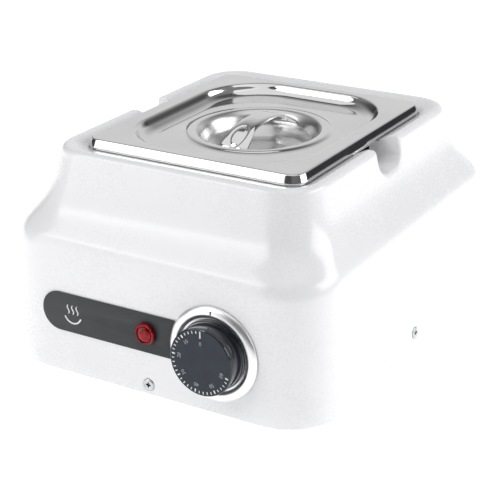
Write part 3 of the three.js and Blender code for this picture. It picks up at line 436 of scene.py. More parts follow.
def mesh_object(name, points, faces, place=None):
    """A welded mesh from millimetre points, put in place by a matrix in metres."""
    place = place or Matrix.Identity(4)
    shell = bmesh.new()
    corners = [shell.verts.new(place @ (Vector(point) * MM)) for point in points]
    for face in faces:
        shell.faces.new([corners[i] for i in face])
    bmesh.ops.remove_doubles(shell, verts=shell.verts, dist=2e-6)
    bmesh.ops.dissolve_degenerate(shell, edges=shell.edges, dist=1e-6)
    bmesh.ops.recalc_face_normals(shell, faces=shell.faces)
    mesh = bpy.data.meshes.new(name)
    shell.to_mesh(mesh)
    shell.free()
    made = bpy.data.objects.new(name, mesh)
    bpy.context.scene.collection.objects.link(made)
    return made


def skin(rings, loop):
    """Quads between successive rings of points; a loop joins the last ring to the first."""
    count = len(rings[0])
    points = [point for ring in rings for point in ring]
    faces = []
    for row in range(len(rings) if loop else len(rings) - 1):
        near = row * count
        far = (row + 1) % len(rings) * count
        for i in range(count):
            j = (i + 1) % count
            faces.append((near + i, near + j, far + j, far + i))
    if not loop:
        faces.append(tuple(range(count)))
        last = (len(rings) - 1) * count
        faces.append(tuple(last + i for i in reversed(range(count))))
    return points, faces


def polar(radius, angle, height):
    return (radius * math.cos(angle), radius * math.sin(angle), height)


def quadratic(start, middle, end, t):
    """A point on a quadratic curve."""
    return tuple((1 - t) ** 2 * a + 2 * t * (1 - t) * b + t * t * c for a, b, c in zip(start, middle, end))


def between(start, end, t):
    return tuple(a + (b - a) * t for a, b in zip(start, end))


def arc(centre, radius, start, end, steps):
    """Points on an arc from one angle to another, in degrees."""
    turns = [math.radians(start + (end - start) * i / steps) for i in range(steps + 1)]
    return [(centre[0] + radius * math.cos(turn), centre[1] + radius * math.sin(turn)) for turn in turns]


def corner_ring(level, steps, spans):
    """A rounded rectangle whose corner and side points line up from level to level."""
    half_x, half_y, corner, z = level
    corners = []
    for x, y, start in ((1, 1, 0), (-1, 1, 90), (-1, -1, 180), (1, -1, 270)):
        centre = (x * (half_x - corner), y * (half_y - corner))
        corners.append(arc(centre, corner, start, start + 90, steps))
    points = []
    for index, rounded in enumerate(corners):
        points += rounded
        after = corners[(index + 1) % 4]
        count = spans[index % 2]
        points += [between(rounded[-1], after[0], step / count) for step in range(1, count)]
    return [(x, y, z) for x, y in points]


def even_ring(level, count):
    """A rounded rectangle or disc sampled at even steps along its length, starting on +X."""
    half_x, half_y, corner, z = level
    corner = min(corner, half_x, half_y)
    flat_x = half_x - corner
    flat_y = half_y - corner
    arc = corner * math.pi / 2
    quarter = flat_x + flat_y + arc
    points = []
    if quarter < 1e-6:
        return [(0, 0, z)] * count
    for i in range(count):
        turn, along = divmod(4 * i / count, 1)
        turn = int(turn) % 4
        if turn % 2:
            along = 1 - along
        run = along * quarter
        if run <= flat_y:
            x, y = half_x, run
        elif run <= flat_y + arc:
            angle = (run - flat_y) / corner
            x = flat_x + corner * math.cos(angle)
            y = flat_y + corner * math.sin(angle)
        else:
            x, y = flat_x - (run - flat_y - arc), half_y
        points.append((x * (1, -1, -1, 1)[turn], y * (1, 1, -1, -1)[turn], z))
    return points


def toward(here, there, reach):
    span = math.hypot(there[0] - here[0], there[-1] - here[-1]) or 1e-9
    return between(here, there, min(reach / span, 0.5))


def soften(levels, reach, steps=4):
    """Rounds every inner corner of a path of levels, keeping its flats."""
    path = [levels[0]]
    for before, here, after in zip(levels, levels[1:], levels[2:]):
        start = toward(here, before, reach)
        end = toward(here, after, reach)
        path += [quadratic(start, here, end, step / steps) for step in range(steps + 1)]
    path.append(levels[-1])
    kept = [path[0]]
    for level in path[1:]:
        if max(abs(a - b) for a, b in zip(level, kept[-1])) > 0.01:
            kept.append(level)
    return kept


def backed(levels, sheet):
    """The other face of a sheet: its levels moved by its thickness, away from the side they draw."""
    moved = []
    for i, (half_x, half_y, corner, z) in enumerate(levels):
        before = levels[max(i - 1, 0)]
        after = levels[min(i + 1, len(levels) - 1)]
        along = Vector(((after[0] + after[1] - before[0] - before[1]) / 2, after[3] - before[3]))
        along.normalize()
        out, up = -along.y * sheet, along.x * sheet
        if i == 0:
            out = 0
        moved.append((max(half_x - out, 0), max(half_y - out, 0), max(corner - out, 0), z - up))
    return moved


def pressed_sheet(name, levels, sheet, count):
    """A closed pressed sheet drawn from its middle out to its edge."""
    rings = [even_ring(level, count) for level in levels]
    rings += [even_ring(level, count) for level in reversed(backed(levels, sheet))]
    return mesh_object(name, *skin(rings, False))


def lathe(profile, segments, closed=False):
    """A profile of (radius, height) turned about Z; closed joins its last point to its first."""
    angles = [2 * math.pi * i / segments for i in range(segments)]
    return skin([[polar(radius, angle, height) for angle in angles] for radius, height in profile], closed)


def turned(name, profile, segments, place, closed=False, reach=0.0):
    if reach:
        profile = [(level[0], level[-1]) for level in soften([(r, h) for r, h in profile], reach)]
    return mesh_object(name, *lathe(profile, segments, closed), place)


def prism(outline, low, high):
    """A closed outline between two heights."""
    count = len(outline)
    points = [(x, y, low) for x, y in outline] + [(x, y, high) for x, y in outline]
    faces = [tuple(range(count)), tuple(reversed(range(count, 2 * count)))]
    faces += [(i, (i + 1) % count, count + (i + 1) % count, count + i) for i in range(count)]
    return points, faces


def bar(size, centre):
    x, y = size[0] / 2, size[1] / 2
    outline = [(centre[0] + a * x, centre[1] + b * y) for a, b in ((-1, -1), (1, -1), (1, 1), (-1, 1))]
    return prism(outline, centre[2] - size[2] / 2, centre[2] + size[2] / 2)


def merge(*shapes):
    points, faces = [], []
    for more_points, more_faces in shapes:
        start = len(points)
        points += list(more_points)
        faces += [tuple(start + i for i in face) for face in more_faces]
    return points, faces


def boolean(target, tool, operation):
    """Applies a boolean and removes its tool."""
    step = target.modifiers.new("shape", "BOOLEAN")
    step.operation = operation
    step.solver = "EXACT"
    step.object = tool
    apply_modifiers(target)
    bpy.data.objects.remove(tool)


def apply_modifiers(target):
    bpy.context.view_layer.update()
    evaluated = target.evaluated_get(bpy.context.evaluated_depsgraph_get())
    mesh = bpy.data.meshes.new_from_object(evaluated)
    target.modifiers.clear()
    target.data = mesh


def drill(target, radius, low, high, segments, place):
    """Cuts a round hole between two heights on a place's own axis."""
    hole = turned("hole_tool", [(0, low), (radius, low), (radius, high), (0, high)], segments, place)
    boolean(target, hole, "DIFFERENCE")


def standing(x, y, z):
    return Matrix.Translation(Vector((x, y, z)) * MM)


def dress(made, *finishes, angle=35):
    made.data.materials.clear()
    for finish in finishes:
        made.data.materials.append(FINISH[finish])
    made.data.shade_smooth()
    made.data.set_sharp_from_angle(angle=math.radians(angle))


def install(made, body, slot, *nodes, finishes=None, angle=35):
    dress(made, *(finishes or (slot,)), angle=angle)
    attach(made, body)
    if nodes:
        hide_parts(*nodes)


WALLS = {
    "front": (0, SHOULDER_HALF[1]),
    "right": (90, SHOULDER_HALF[0]),
    "rear": (180, SHOULDER_HALF[1]),
    "left": (-90, SHOULDER_HALF[0]),
}


def on_wall(side, across, z):
    """A place on one wall of the skirt: +Z out of the wall, +Y up it, +X to the right seen from outside."""
    turn, half = WALLS[side]
    out = half + SKIRT_DRAFT * (SKIRT_TOP_Z - z)
    lean = math.pi / 2 - math.atan(SKIRT_DRAFT)
    facing = Matrix.Rotation(math.radians(turn), 4, "Z")
    return facing @ standing(across, -out, z) @ Matrix.Rotation(lean, 4, "X")


KNOB_FRAME = on_wall("front", KNOB_X, KNOB_Z)
LAMP_FRAME = on_wall("front", LAMP_X, LABEL_Z)
GLAND_FRAME = on_wall("rear", -GLAND_X, GLAND_Z)
SCREW_FRAMES = {side: on_wall(side, 0, z) for side, z in SCREW_Z.items()}

# ------------------------ casing

SPREAD = SHOULDER_HALF[0] - RIM_HALF[0]
NECK_SHARE = 0.13
NECK_DROP = 17.0
CORNER_STEPS = 14
SIDE_SPANS = (24, 30)


def flare_path(curve, line):
    """How far the wall has spread from the rim, and its height, from the rim down to the skirt."""
    path = []

    def straight(start, end):
        path.extend(between(start, end, i / line) for i in range(line))

    def bend(start, middle, end):
        path.extend(quadratic(start, middle, end, i / curve) for i in range(curve))

    top = (0, RIM_Z - RIM_ROUND)
    neck = (NECK_SHARE * SPREAD, RIM_Z - NECK_DROP)
    slope = (0.607 * SPREAD, RIM_Z - 41.4)
    brow = (0.83 * SPREAD, SKIRT_TOP_Z + 12.2)
    skirt = (SPREAD, SKIRT_TOP_Z)
    straight(top, neck)
    bend(neck, (0.273 * SPREAD, RIM_Z - 31.3), slope)
    straight(slope, brow)
    bend(brow, (0.985 * SPREAD, SKIRT_TOP_Z + 7.5), skirt)
    path.append(skirt)
    return path


def casing_level(spread, z, inset):
    share = spread / SPREAD
    half = [low + (high - low) * share - inset for low, high in zip(RIM_HALF, SHOULDER_HALF)]
    return (*half, RIM_CORNER + (SHOULDER_CORNER - RIM_CORNER) * share - inset, z)


def skirt_level(z, inset):
    outset = SKIRT_DRAFT * (SKIRT_TOP_Z - z) - inset
    return (SHOULDER_HALF[0] + outset, SHOULDER_HALF[1] + outset, SHOULDER_CORNER + outset, z)


def grown(half, corner, amount, z):
    return (half[0] + amount, half[1] + amount, corner + amount, z)


def casing_profile():
    foot = SKIRT_FOOT_Z
    levels = [skirt_level(foot + 1, WALL), skirt_level(foot + 0.3, WALL - 0.3), skirt_level(foot, WALL - 1)]
    levels += [skirt_level(foot, 1), skirt_level(foot + 0.3, 0.3), skirt_level(foot + 1, 0)]
    levels += [skirt_level(z, 0) for z in range(12, 84, 8)]
    levels += [casing_level(spread, z, 0) for spread, z in reversed(flare_path(10, 4))]
    for angle in range(15, 91, 15):
        turn = math.radians(angle)
        z = RIM_Z - RIM_ROUND * (1 - math.sin(turn))
        levels.append(casing_level(0, z, RIM_ROUND * (1 - math.cos(turn))))
    crest = casing_level(0, RIM_Z, RIM_CREST)
    lip = grown(REBATE_HALF, REBATE_CORNER, 0.6, RIM_INNER_Z + 0.2)
    for across, fall in ((0, 0), (0.08, 0.02), (0.18, 0.09), (0.3, 0.21), (0.5, 0.43), (0.75, 0.71), (1, 1)):
        height = crest[3] + (lip[3] - crest[3]) * fall
        levels.append((*between(crest[:3], lip[:3], across), height))
    levels += [grown(REBATE_HALF, REBATE_CORNER, out, z) for out, z in (
        (0.2, RIM_INNER_Z - 0.05), (0, RIM_INNER_Z - 0.4), (0, LEDGE_Z + 0.6), (-0.2, LEDGE_Z + 0.2),
        (-0.8, LEDGE_Z),
    )]
    levels += [grown(OPENING_HALF, OPENING_CORNER, out, z) for out, z in (
        (1.6, LEDGE_Z), (0.6, LEDGE_Z - 0.35), (0, LEDGE_Z - 1.6), (0, 132), (0, COLLAR_Z + 0.6),
        (0.6, COLLAR_Z), (WALL - 0.6, COLLAR_Z), (WALL, COLLAR_Z + 0.6), (WALL, 131), (WALL, LEDGE_Z - WALL),
    )]
    drop = 1.5
    for spread, z in flare_path(6, 3):
        levels.append(casing_level(spread, min(z - drop, LEDGE_Z - WALL), WALL))
    levels += [skirt_level(z, WALL) for z in range(77, 10, -12)]
    return levels


def wall_x(z):
    """Half width of the casing's outside near the rim, in the middle of a side."""
    if z > RIM_Z - RIM_ROUND:
        rise = min(z, RIM_Z) - (RIM_Z - RIM_ROUND)
        return RIM_HALF[0] - RIM_ROUND + math.sqrt(max(RIM_ROUND ** 2 - rise ** 2, 0))
    return RIM_HALF[0] + NECK_SHARE * SPREAD * (RIM_Z - RIM_ROUND - z) / (NECK_DROP - RIM_ROUND)


def notch_outline():
    """(y, z, outward y, outward z) down one side of the notch, across its floor and up the other."""
    side = [(-NOTCH_HALF, z, -1, 0) for z in (
        RIM_Z + 6, RIM_Z + 0.01, RIM_Z - 0.25, RIM_Z - 0.6, RIM_Z - 1.1, RIM_Z - 1.7, RIM_Z - NOTCH_EDGE,
        RIM_Z - 5, NOTCH_Z + NOTCH_ROUND,
    )]
    steps = 10
    for i in range(1, steps + 1):
        t = i / steps
        y = -NOTCH_HALF + NOTCH_ROUND * t * t
        z = NOTCH_Z + NOTCH_ROUND * (1 - t) ** 2
        slope = Vector((2 * t, -2 * (1 - t))).normalized()
        side.append((y, z, slope.y, -slope.x))
    return side + [(-y, z, -out_y, out_z) for y, z, out_y, out_z in reversed(side)]


def edge_flare(depth):
    """How far a rounded edge has opened at this depth below the surface."""
    inside = min(max(NOTCH_EDGE - depth, 0), NOTCH_EDGE)
    return NOTCH_EDGE - math.sqrt(NOTCH_EDGE ** 2 - inside ** 2)


def notch_cutter(side):
    outline = notch_outline()
    rings = []
    for depth in (-12, 0, 0.06, 0.25, 0.55, 0.95, 1.5, NOTCH_EDGE, None):
        ring = []
        for y, z, out_y, out_z in outline:
            open_up = edge_flare(RIM_Z - z) if out_z == 0 and z > NOTCH_Z + NOTCH_ROUND + 1 else 0
            open_out = 0 if depth is None else edge_flare(depth)
            reach = max(open_up, open_out) + 0.35 * min(open_up, open_out)
            at_z = z + out_z * open_out
            x = OPENING_HALF[0] - 1.5 if depth is None else wall_x(at_z) - depth
            ring.append((side * x, NOTCH_Y + y + out_y * reach, at_z))
        rings.append(ring)
    return mesh_object("notch_tool", *skin(rings, False))


def pocket_block(side):
    """Solid material behind the notch, between the outer wall and the collar."""
    low, high = NOTCH_Z - WALL, LEDGE_Z - 1.5
    near = OPENING_HALF[0] + 1.5
    points = []
    for z in (low, high):
        far = wall_x(z) - 1.4
        for x, y in ((near, -1), (far, -1), (far, 1), (near, 1)):
            points.append((side * x, NOTCH_Y + y * (NOTCH_HALF + WALL), z))
    faces = [(0, 1, 2, 3), (7, 6, 5, 4), (0, 4, 5, 1), (1, 5, 6, 2), (2, 6, 7, 3), (3, 7, 4, 0)]
    return mesh_object("pocket_tool", points, faces)


def make_casing():
    rings = [corner_ring(level, CORNER_STEPS, SIDE_SPANS) for level in casing_profile()]
    casing = mesh_object("casing_shell", *skin(rings, True))
    for side in (-1, 1):
        boolean(casing, pocket_block(side), "UNION")
    for side in (-1, 1):
        boolean(casing, notch_cutter(side), "DIFFERENCE")
    seat = [(0, -9), (2.1, -9), (2.1, -2.2), (4.3, -0.25), (4.75, 0.0), (5.0, 0.6), (5.0, 3), (0, 3)]
    for place in SCREW_FRAMES.values():
        boolean(casing, turned("seat_tool", seat, 40, place), "DIFFERENCE")
    holes = ((LAMP_HOLE, LAMP_FRAME), (SPINDLE_HOLE, KNOB_FRAME), (GLAND_THREAD + GAP, GLAND_FRAME))
    for radius, place in holes:
        drill(casing, radius, -9, 5, 40, place)
    install(casing, "casing", "casing_white", "outer_casing", angle=30)


make_casing()

# ------------------------ lid, strap and pan

FINE = 320
STRAP_STEPS = 132
STRAP_ACROSS = 34
STRAP_HALF_WIDTH = 8.0
STRAP_WIDENING = 3.0
STRAP_ROLL = 0.7
BEAD_HALF = (5.2, 9.5)
BEAD_FROM_END = 14.5
BEAD_DEPTH = 0.55
BEAD_SPREAD = 0.13


def disc(radius, z):
    return (radius, radius, radius, z)


def make_lid():
    """The lid's border stands steeply and flares out towards its foot."""
    foot = LID_Z - LID_EDGE

    def edge(inset, z):
        return grown(LID_HALF, LID_CORNER, -inset, z)

    levels = [
        disc(0, DISH_Z + 0.5), disc(24, DISH_Z), disc(32, DISH_Z + 2.4), disc(37.5, DISH_Z + 8),
        disc(40.5, RECESS_Z - 2), disc(43, RECESS_Z + 0.6), disc(45, RECESS_Z + 1.1),
        disc(49, RECESS_Z + 1.1), disc(51, RECESS_Z), (59.5, 70, 38, RECESS_Z),
        (63.5, 74, 41, RECESS_Z + 0.8), (66.6, 77.2, 43, RECESS_Z + 2.8),
        (68.6, 79.2, 44, LID_Z - 0.8), (69.8, 80.5, 45, LID_Z),
        edge(0.9, LID_Z), edge(0.1, LID_Z - 0.3), edge(-0.1, LID_Z - 0.7),
        edge(0.3 - LID_FLARE, foot + 1.3), edge(-LID_FLARE, foot + 0.6), edge(-LID_FLARE, foot),
    ]
    lid = pressed_sheet("lid_cover", soften(levels, 1.7, 5), SHEET, FINE)
    install(lid, "lid", "stainless_steel", "lid", finishes=("stainless_steel", "dish_satin"), angle=60)
    for polygon in lid.data.polygons:
        from_middle = math.hypot(polygon.center.x, polygon.center.y)
        polygon.material_index = 1 if from_middle < DISH_RADIUS * MM else 0


def smooth_point(a, b, c, d, t):
    """A point on the smooth curve from b to c, with a and d as its neighbours."""
    bend = 2 * a - 5 * b + 4 * c - d
    twist = 3 * b - a - 3 * c + d
    return 0.5 * (2 * b + (c - a) * t + bend * t * t + twist * t ** 3)


def strap_line():
    """Side view of the strap's top, (y, z), from its front foot to its rear foot."""
    half = [(0, 151.9), (12, 151.2), (21, 148.9), (28.5, 145.3), (33.5, 141.7), (35.9, 138.9), (36.3, 136.4)]
    points = [Vector((-y, z)) for y, z in reversed(half[1:])] + [Vector(point) for point in half]
    line = []
    spans = len(points) - 1
    for i in range(STRAP_STEPS + 1):
        at = min(i / STRAP_STEPS * spans, spans - 1e-6)
        k = int(at)
        around = [points[min(max(k + offset, 0), spans)] for offset in (-1, 0, 1, 2)]
        line.append(smooth_point(*around, at - k))
    return line


def smooth_step(low, high, value):
    t = min(max((value - low) / (high - low), 0), 1)
    return t * t * (3 - 2 * t)


def make_strap():
    """A bent strip that widens towards its feet, with rolled sides and an oval bead in each foot."""
    line = strap_line()
    tops, unders = [], []
    run = 0.0
    lengths = [0.0]
    for before, after in zip(line, line[1:]):
        run += (after - before).length
        lengths.append(run)
    for i, point in enumerate(line):
        before, after = line[max(i - 1, 0)], line[min(i + 1, STRAP_STEPS)]
        along = (after - before).normalized()
        normal = Vector((-along.y, along.x))
        half = STRAP_HALF_WIDTH + STRAP_WIDENING * smooth_step(14, 33, abs(point.x))
        from_end = min(lengths[i], run - lengths[i])
        top, under = [], []
        for j in range(STRAP_ACROSS + 1):
            u = 2 * j / STRAP_ACROSS - 1
            x = half * u
            oval = math.hypot(x / BEAD_HALF[0], (from_end - BEAD_FROM_END) / BEAD_HALF[1])
            bead = BEAD_DEPTH * math.exp(-((oval - 1) / BEAD_SPREAD) ** 2)
            drop = STRAP_ROLL * abs(u) ** 5 + bead
            top.append((x, point.x - normal.x * drop, point.y - normal.y * drop))
            drop += STRAP_SHEET
            under.append((x, point.x - normal.x * drop, point.y - normal.y * drop))
        tops.append(top)
        unders.append(under)
    rings = [top + list(reversed(under)) for top, under in zip(tops, unders)]
    strap = mesh_object("lid_strap", *skin(rings, False))
    install(strap, "lid", "stainless_steel", "lid_handle", angle=50)


def pan_level(z, inset):
    taper = PAN_TAPER * (PAN_TOP_Z - z)
    half = [side - taper - inset for side in PAN_MOUTH_HALF]
    return (*half, PAN_MOUTH_CORNER - 0.5 * taper - inset, z)


def make_pan():
    floor = PAN_TOP_Z - PAN_DEPTH + SHEET
    levels = [
        disc(0, floor), pan_level(floor, 9.5), pan_level(floor + 2.4, 3.4), pan_level(floor + 8, SHEET),
        pan_level(PAN_TOP_Z - 3.4, SHEET), (*PAN_MOUTH_HALF, PAN_MOUTH_CORNER, PAN_TOP_Z),
    ]
    levels += [grown(LID_HALF, LID_CORNER, FLANGE_OUTSET - inset, z) for inset, z in (
        (0.8, PAN_TOP_Z), (0, PAN_TOP_Z - 0.8), (0, LEDGE_Z + 0.15),
    )]
    pan = pressed_sheet("wax_pan", soften(levels, 2.2, 5), SHEET, FINE)
    install(pan, "pan", "stainless_steel", "lift_out_pan", angle=60)


make_lid()
make_strap()
make_pan()

# ------------------------ control label and lamp

MARK_LOW = GAP + LABEL_SHEET - 0.05
MARK_HEIGHTS = (MARK_LOW, MARK_LOW + 0.1)
WAVE_LOW = -0.6
WAVE_HIGH = 6.0
WAVE_WIDTH = 1.0
WAVE_SWAY = 0.7
WAVE_STEPS = 20
BOWL_RADII = (7.4, 6.3)
LENS_SEAT = GAP + LABEL_SHEET + 0.2
LENS_SIDES = 12


def make_label():
    left = (LABEL_LEFT - LAMP_X, 0)
    knob = (KNOB_X - LAMP_X, KNOB_Z - LABEL_Z)
    reach = BEZEL_RADIUS + 0.4
    top = math.degrees(math.asin((LABEL_HALF_HEIGHT - knob[1]) / reach))
    bottom = math.degrees(math.asin((-LABEL_HALF_HEIGHT - knob[1]) / reach))
    outline = arc(left, LABEL_HALF_HEIGHT, 90, 270, 32) + arc(knob, reach, 180 - bottom, 180 - top, 20)
    label = mesh_object("control_label", *prism(outline, GAP, GAP + LABEL_SHEET), LAMP_FRAME)
    drill(label, LAMP_HOLE, -2, 3, 48, LAMP_FRAME)
    edge = label.modifiers.new("edge", "BEVEL")
    edge.width = 0.00012
    edge.segments = 2
    edge.limit_method = "ANGLE"
    apply_modifiers(label)
    label.name = "label_sheet"
    install(label, "casing", "label_film", "control_label", angle=40)


def wavy_ribbon(x):
    """One rising wave, tapered towards both ends."""
    outline_left, outline_right = [], []
    for i in range(WAVE_STEPS + 1):
        t = i / WAVE_STEPS
        middle = x + WAVE_SWAY * math.sin(2 * math.pi * t)
        taper = WAVE_WIDTH / 2 * (0.35 + 0.65 * math.sin(math.pi * t) ** 0.5)
        y = WAVE_LOW + (WAVE_HIGH - WAVE_LOW) * t
        outline_left.append((middle - taper, y))
        outline_right.append((middle + taper, y))
    return prism(outline_left + outline_right[::-1], *MARK_HEIGHTS)


def make_heat_mark():
    """A plain heat symbol, three rising waves over a shallow bowl."""
    centre = LABEL_LEFT + 11
    waves = [wavy_ribbon(centre + offset) for offset in (-3.6, 0, 3.6)]
    outer = arc((centre, 0), BOWL_RADII[0], 200, 340, 24)
    inner = arc((centre, 0), BOWL_RADII[1], 338, 202, 24)
    mark = mesh_object("heat_mark", *merge(*waves, prism(outer + inner, *MARK_HEIGHTS)), LAMP_FRAME)
    install(mark, "casing", "label_film", finishes=("print_white",))


def make_lamp():
    """A round collar with a faceted lens in it."""
    rim = [(0, 0), (6.9, 0), (7.2, 0.4), (7.1, 2.0), (6.5, 2.7), (5.9, 2.5), (5.6, 1.7), (5.3, 1.7), (0, 1.7)]
    collar = lathe([(radius, LENS_SEAT + height) for radius, height in rim], 48)
    rings = []
    for index, (radius, height) in enumerate(((5.2, 1.6), (4.9, 2.4), (3.3, 3.0), (1.6, 3.2))):
        twist = math.pi / LENS_SIDES * (index % 2)
        angles = [2 * math.pi * i / LENS_SIDES + twist for i in range(LENS_SIDES)]
        rings.append([polar(radius, angle, LENS_SEAT + height) for angle in angles])
    lens = mesh_object("lamp_lens", *merge(collar, skin(rings, False)), LAMP_FRAME)
    install(lens, "casing", "lens_red", "pilot_lamp_lens", angle=14)


make_label()
make_heat_mark()
make_lamp()

# ------------------------ bezel, knob and its scale

SCALE_STEP = 8.4
STEPS_PER_NUMERAL = 5
NUMERALS = 6
NUMERAL_SIZE = 3.6
NUMERAL_RADIUS = 15.6
ZERO_RADIUS = 12.6


def make_bezel():
    outer = BEZEL_RADIUS
    profile = [
        (5.4, GAP), (outer, GAP), (outer, 1.2), (outer - 0.9, 2.4), (outer - 2.8, 3.4), (outer - 4.8, 3.8),
        (outer - 5.6, 3.5), (outer - 6.4, 2.6), (outer - 7.2, 1.4), (5.4, 1.4),
    ]
    path = soften(profile, 0.9, 4)
    bezel = turned("bezel_ring", path, 128, KNOB_FRAME, closed=True)
    install(bezel, "casing", "bezel_chrome", "knob_bezel", angle=50)
    pointer = mesh_object("bezel_pointer", *bar((0.9, 2.4, 0.5), (0, outer - 3.7, 3.5)), KNOB_FRAME)
    install(pointer, "casing", "knob_slate", finishes=("knob_gloss",))


def make_knob():
    face = KNOB_FACE
    side = KNOB_RADIUS
    profile = [
        (0, face - 4), (3.2, face - 4), (3.2, 4.4), (6.4, 4.4), (6.4, face - 2.6), (side - 2.4, face - 2.6),
        (side - 1.8, 2), (side + 0.35, 2), (side + 0.5, 2.2), (side + 0.5, 2.9), (side + 0.35, 3.1),
        (side - 0.15, 3.25), (side - 0.15, 3.7), (side - 0.3, face - 0.8), (side - 0.5, face - 0.3),
        (side - 0.95, face), (side - 1.1, face), (side - 1.22, face - 0.16), (side - 1.42, face - 0.16),
        (side - 1.54, face), (0, face),
    ]
    knob = turned("dial_knob", profile, 128, KNOB_FRAME)
    install(knob, "knob", "knob_slate", "thermostat_knob", finishes=("knob_slate", "knob_gloss"), angle=18)
    out = KNOB_FRAME.to_3x3() @ Vector((0, 0, 1))
    origin = KNOB_FRAME.translation
    for polygon in knob.data.polygons:
        height = (polygon.center - origin).dot(out)
        flat = polygon.normal.dot(out) > 0.9 and height > (face - 0.05) * MM
        polygon.material_index = 0 if flat else 1


def tick(angle, inner, outer, width):
    """A thin printed bar on the knob's face, at an angle anticlockwise from the top."""
    turn = math.radians(90 + angle)
    along = Vector((math.cos(turn), math.sin(turn)))
    across = Vector((-along.y, along.x)) * width / 2
    corners = [along * inner - across, along * outer - across, along * outer + across, along * inner + across]
    return prism([tuple(corner) for corner in corners], KNOB_FACE - 0.04, KNOB_FACE + 0.08)


def numeral(value, angle, radius):
    """A raised number on the knob's face, at an angle anticlockwise from the top."""
    text = bpy.data.curves.new("numeral", "FONT")
    text.body = str(value)
    text.size = NUMERAL_SIZE
    text.align_x = "CENTER"
    text.align_y = "CENTER"
    text.extrude = 0.05
    text.resolution_u = 3
    lettering = bpy.data.objects.new("numeral", text)
    bpy.context.scene.collection.objects.link(lettering)
    bpy.context.view_layer.update()
    evaluated = lettering.evaluated_get(bpy.context.evaluated_depsgraph_get())
    shape = bpy.data.meshes.new_from_object(evaluated)
    lift = Matrix.Translation((0, radius, KNOB_FACE + 0.02))
    spin = Matrix.Rotation(math.radians(angle), 4, "Z") @ lift
    points = [tuple(spin @ vertex.co) for vertex in shape.vertices]
    faces = [tuple(polygon.vertices) for polygon in shape.polygons]
    bpy.data.objects.remove(lettering)
    bpy.data.meshes.remove(shape)
    bpy.data.curves.remove(text)
    return points, faces


def make_scale():
    edge = KNOB_RADIUS - 1.8
    ticks = [tick(0, edge - 4.6, edge, 0.9)]
    for step in range(1, NUMERALS * STEPS_PER_NUMERAL + 1):
        major = step % STEPS_PER_NUMERAL == 0
        ticks.append(tick(step * SCALE_STEP, edge - (2.2 if major else 1.7), edge, 0.95 if major else 0.6))
    scale = mesh_object("knob_scale", *merge(*ticks), KNOB_FRAME)
    install(scale, "knob", "casing_white", finishes=("print_white",))
    numerals = [numeral(0, 0, ZERO_RADIUS)]
    for index in range(1, NUMERALS + 1):
        numerals.append(numeral(10 * index, index * STEPS_PER_NUMERAL * SCALE_STEP, NUMERAL_RADIUS))
    numbers = mesh_object("knob_numerals", *merge(*numerals), KNOB_FRAME)
    install(numbers, "knob", "casing_white", finishes=("print_grey",))


make_bezel()
make_knob()
make_scale()

# ------------------------ screws, feet and gland

CROSS_REACH = 3.9
SLOT_WIDTH = 0.85


def make_casing_screw(side, place):
    """A pan head over a countersunk neck; its cross recess is coloured near black as painted shade."""
    profile = [
        (0, -11), (1.2, -9.6), (1.7, -9), (1.7, -2.4), (3.95, -0.15), (3.95, 0.05), (3.5, 0.38), (2.6, 0.56),
        (1.4, 0.67), (0, 0.7),
    ]
    screw = turned(f"screw_{side}", profile, 48, place)
    for size in ((CROSS_REACH, SLOT_WIDTH, 3.4), (SLOT_WIDTH, CROSS_REACH, 3.4)):
        boolean(screw, mesh_object("cross_tool", *bar(size, (0, 0, 0.2)), place), "DIFFERENCE")
    centre = turned("cross_tool", [(0, -1.9), (0.9, -1.4), (1.25, 1), (0, 1)], 24, place)
    boolean(screw, centre, "DIFFERENCE")
    # the polygons inside the cross recess get the near-black finish: painted shade in the recess
    finishes = ("zinc_steel", "recess_painted_shade")
    install(screw, "casing", "zinc_steel", f"casing_screw_{side}", finishes=finishes, angle=32)
    inward = place.inverted()
    for polygon in screw.data.polygons:
        x, y, z = inward @ polygon.center / MM
        near, far = sorted((abs(x), abs(y)))
        in_cross = near < SLOT_WIDTH / 2 + 0.015 and far < CROSS_REACH / 2 + 0.02
        polygon.material_index = 1 if in_cross and -2.5 < z < 0.66 else 0


def make_foot(name, place):
    profile = [
        (2.4, 3), (6, 3), (6, 0.2), (6.3, 0), (8, 0), (8.4, 0.5), (9.0, 0.5), (9.4, 0), (10.6, 0), (11, 0.5),
        (10.1, 6.4), (9.7, 6.8), (2.4, 6.8),
    ]
    foot = turned(f"rubber_{name}", profile, 56, place, closed=True)
    install(foot, "casing", "foot_rubber", f"foot_{name}", angle=32)
    head = [(0, 1), (3.8, 1), (4.2, 1.4), (4.2, 2.8), (1.6, 2.8), (1.6, 14), (1.2, 14.8), (0, 15)]
    screw = turned(f"rubber_screw_{name}", head, 40, place)
    boolean(screw, mesh_object("slot_tool", *bar((5.6, 0.9, 1.8), (0, 0, 1)), place), "DIFFERENCE")
    install(screw, "casing", "zinc_steel", f"foot_screw_{name}", angle=32)


def ribbed_ring(inner, outer, low, high, ribs, depth):
    """A turned ring with grip ribs round its outside."""
    count = ribs * 8
    profile = (
        (inner, low, 0), (outer - 0.5, low, 1), (outer, low + 0.6, 1), (outer, high - 0.6, 1),
        (outer - 0.5, high, 1), (inner, high, 0),
    )
    rings = []
    for radius, height, share in profile:
        ring = []
        for i in range(count):
            angle = 2 * math.pi * i / count
            groove = depth * share * max(0, math.cos(ribs * angle)) ** 2
            ring.append(polar(radius - groove, angle, height))
        rings.append(ring)
    return skin(rings, True)


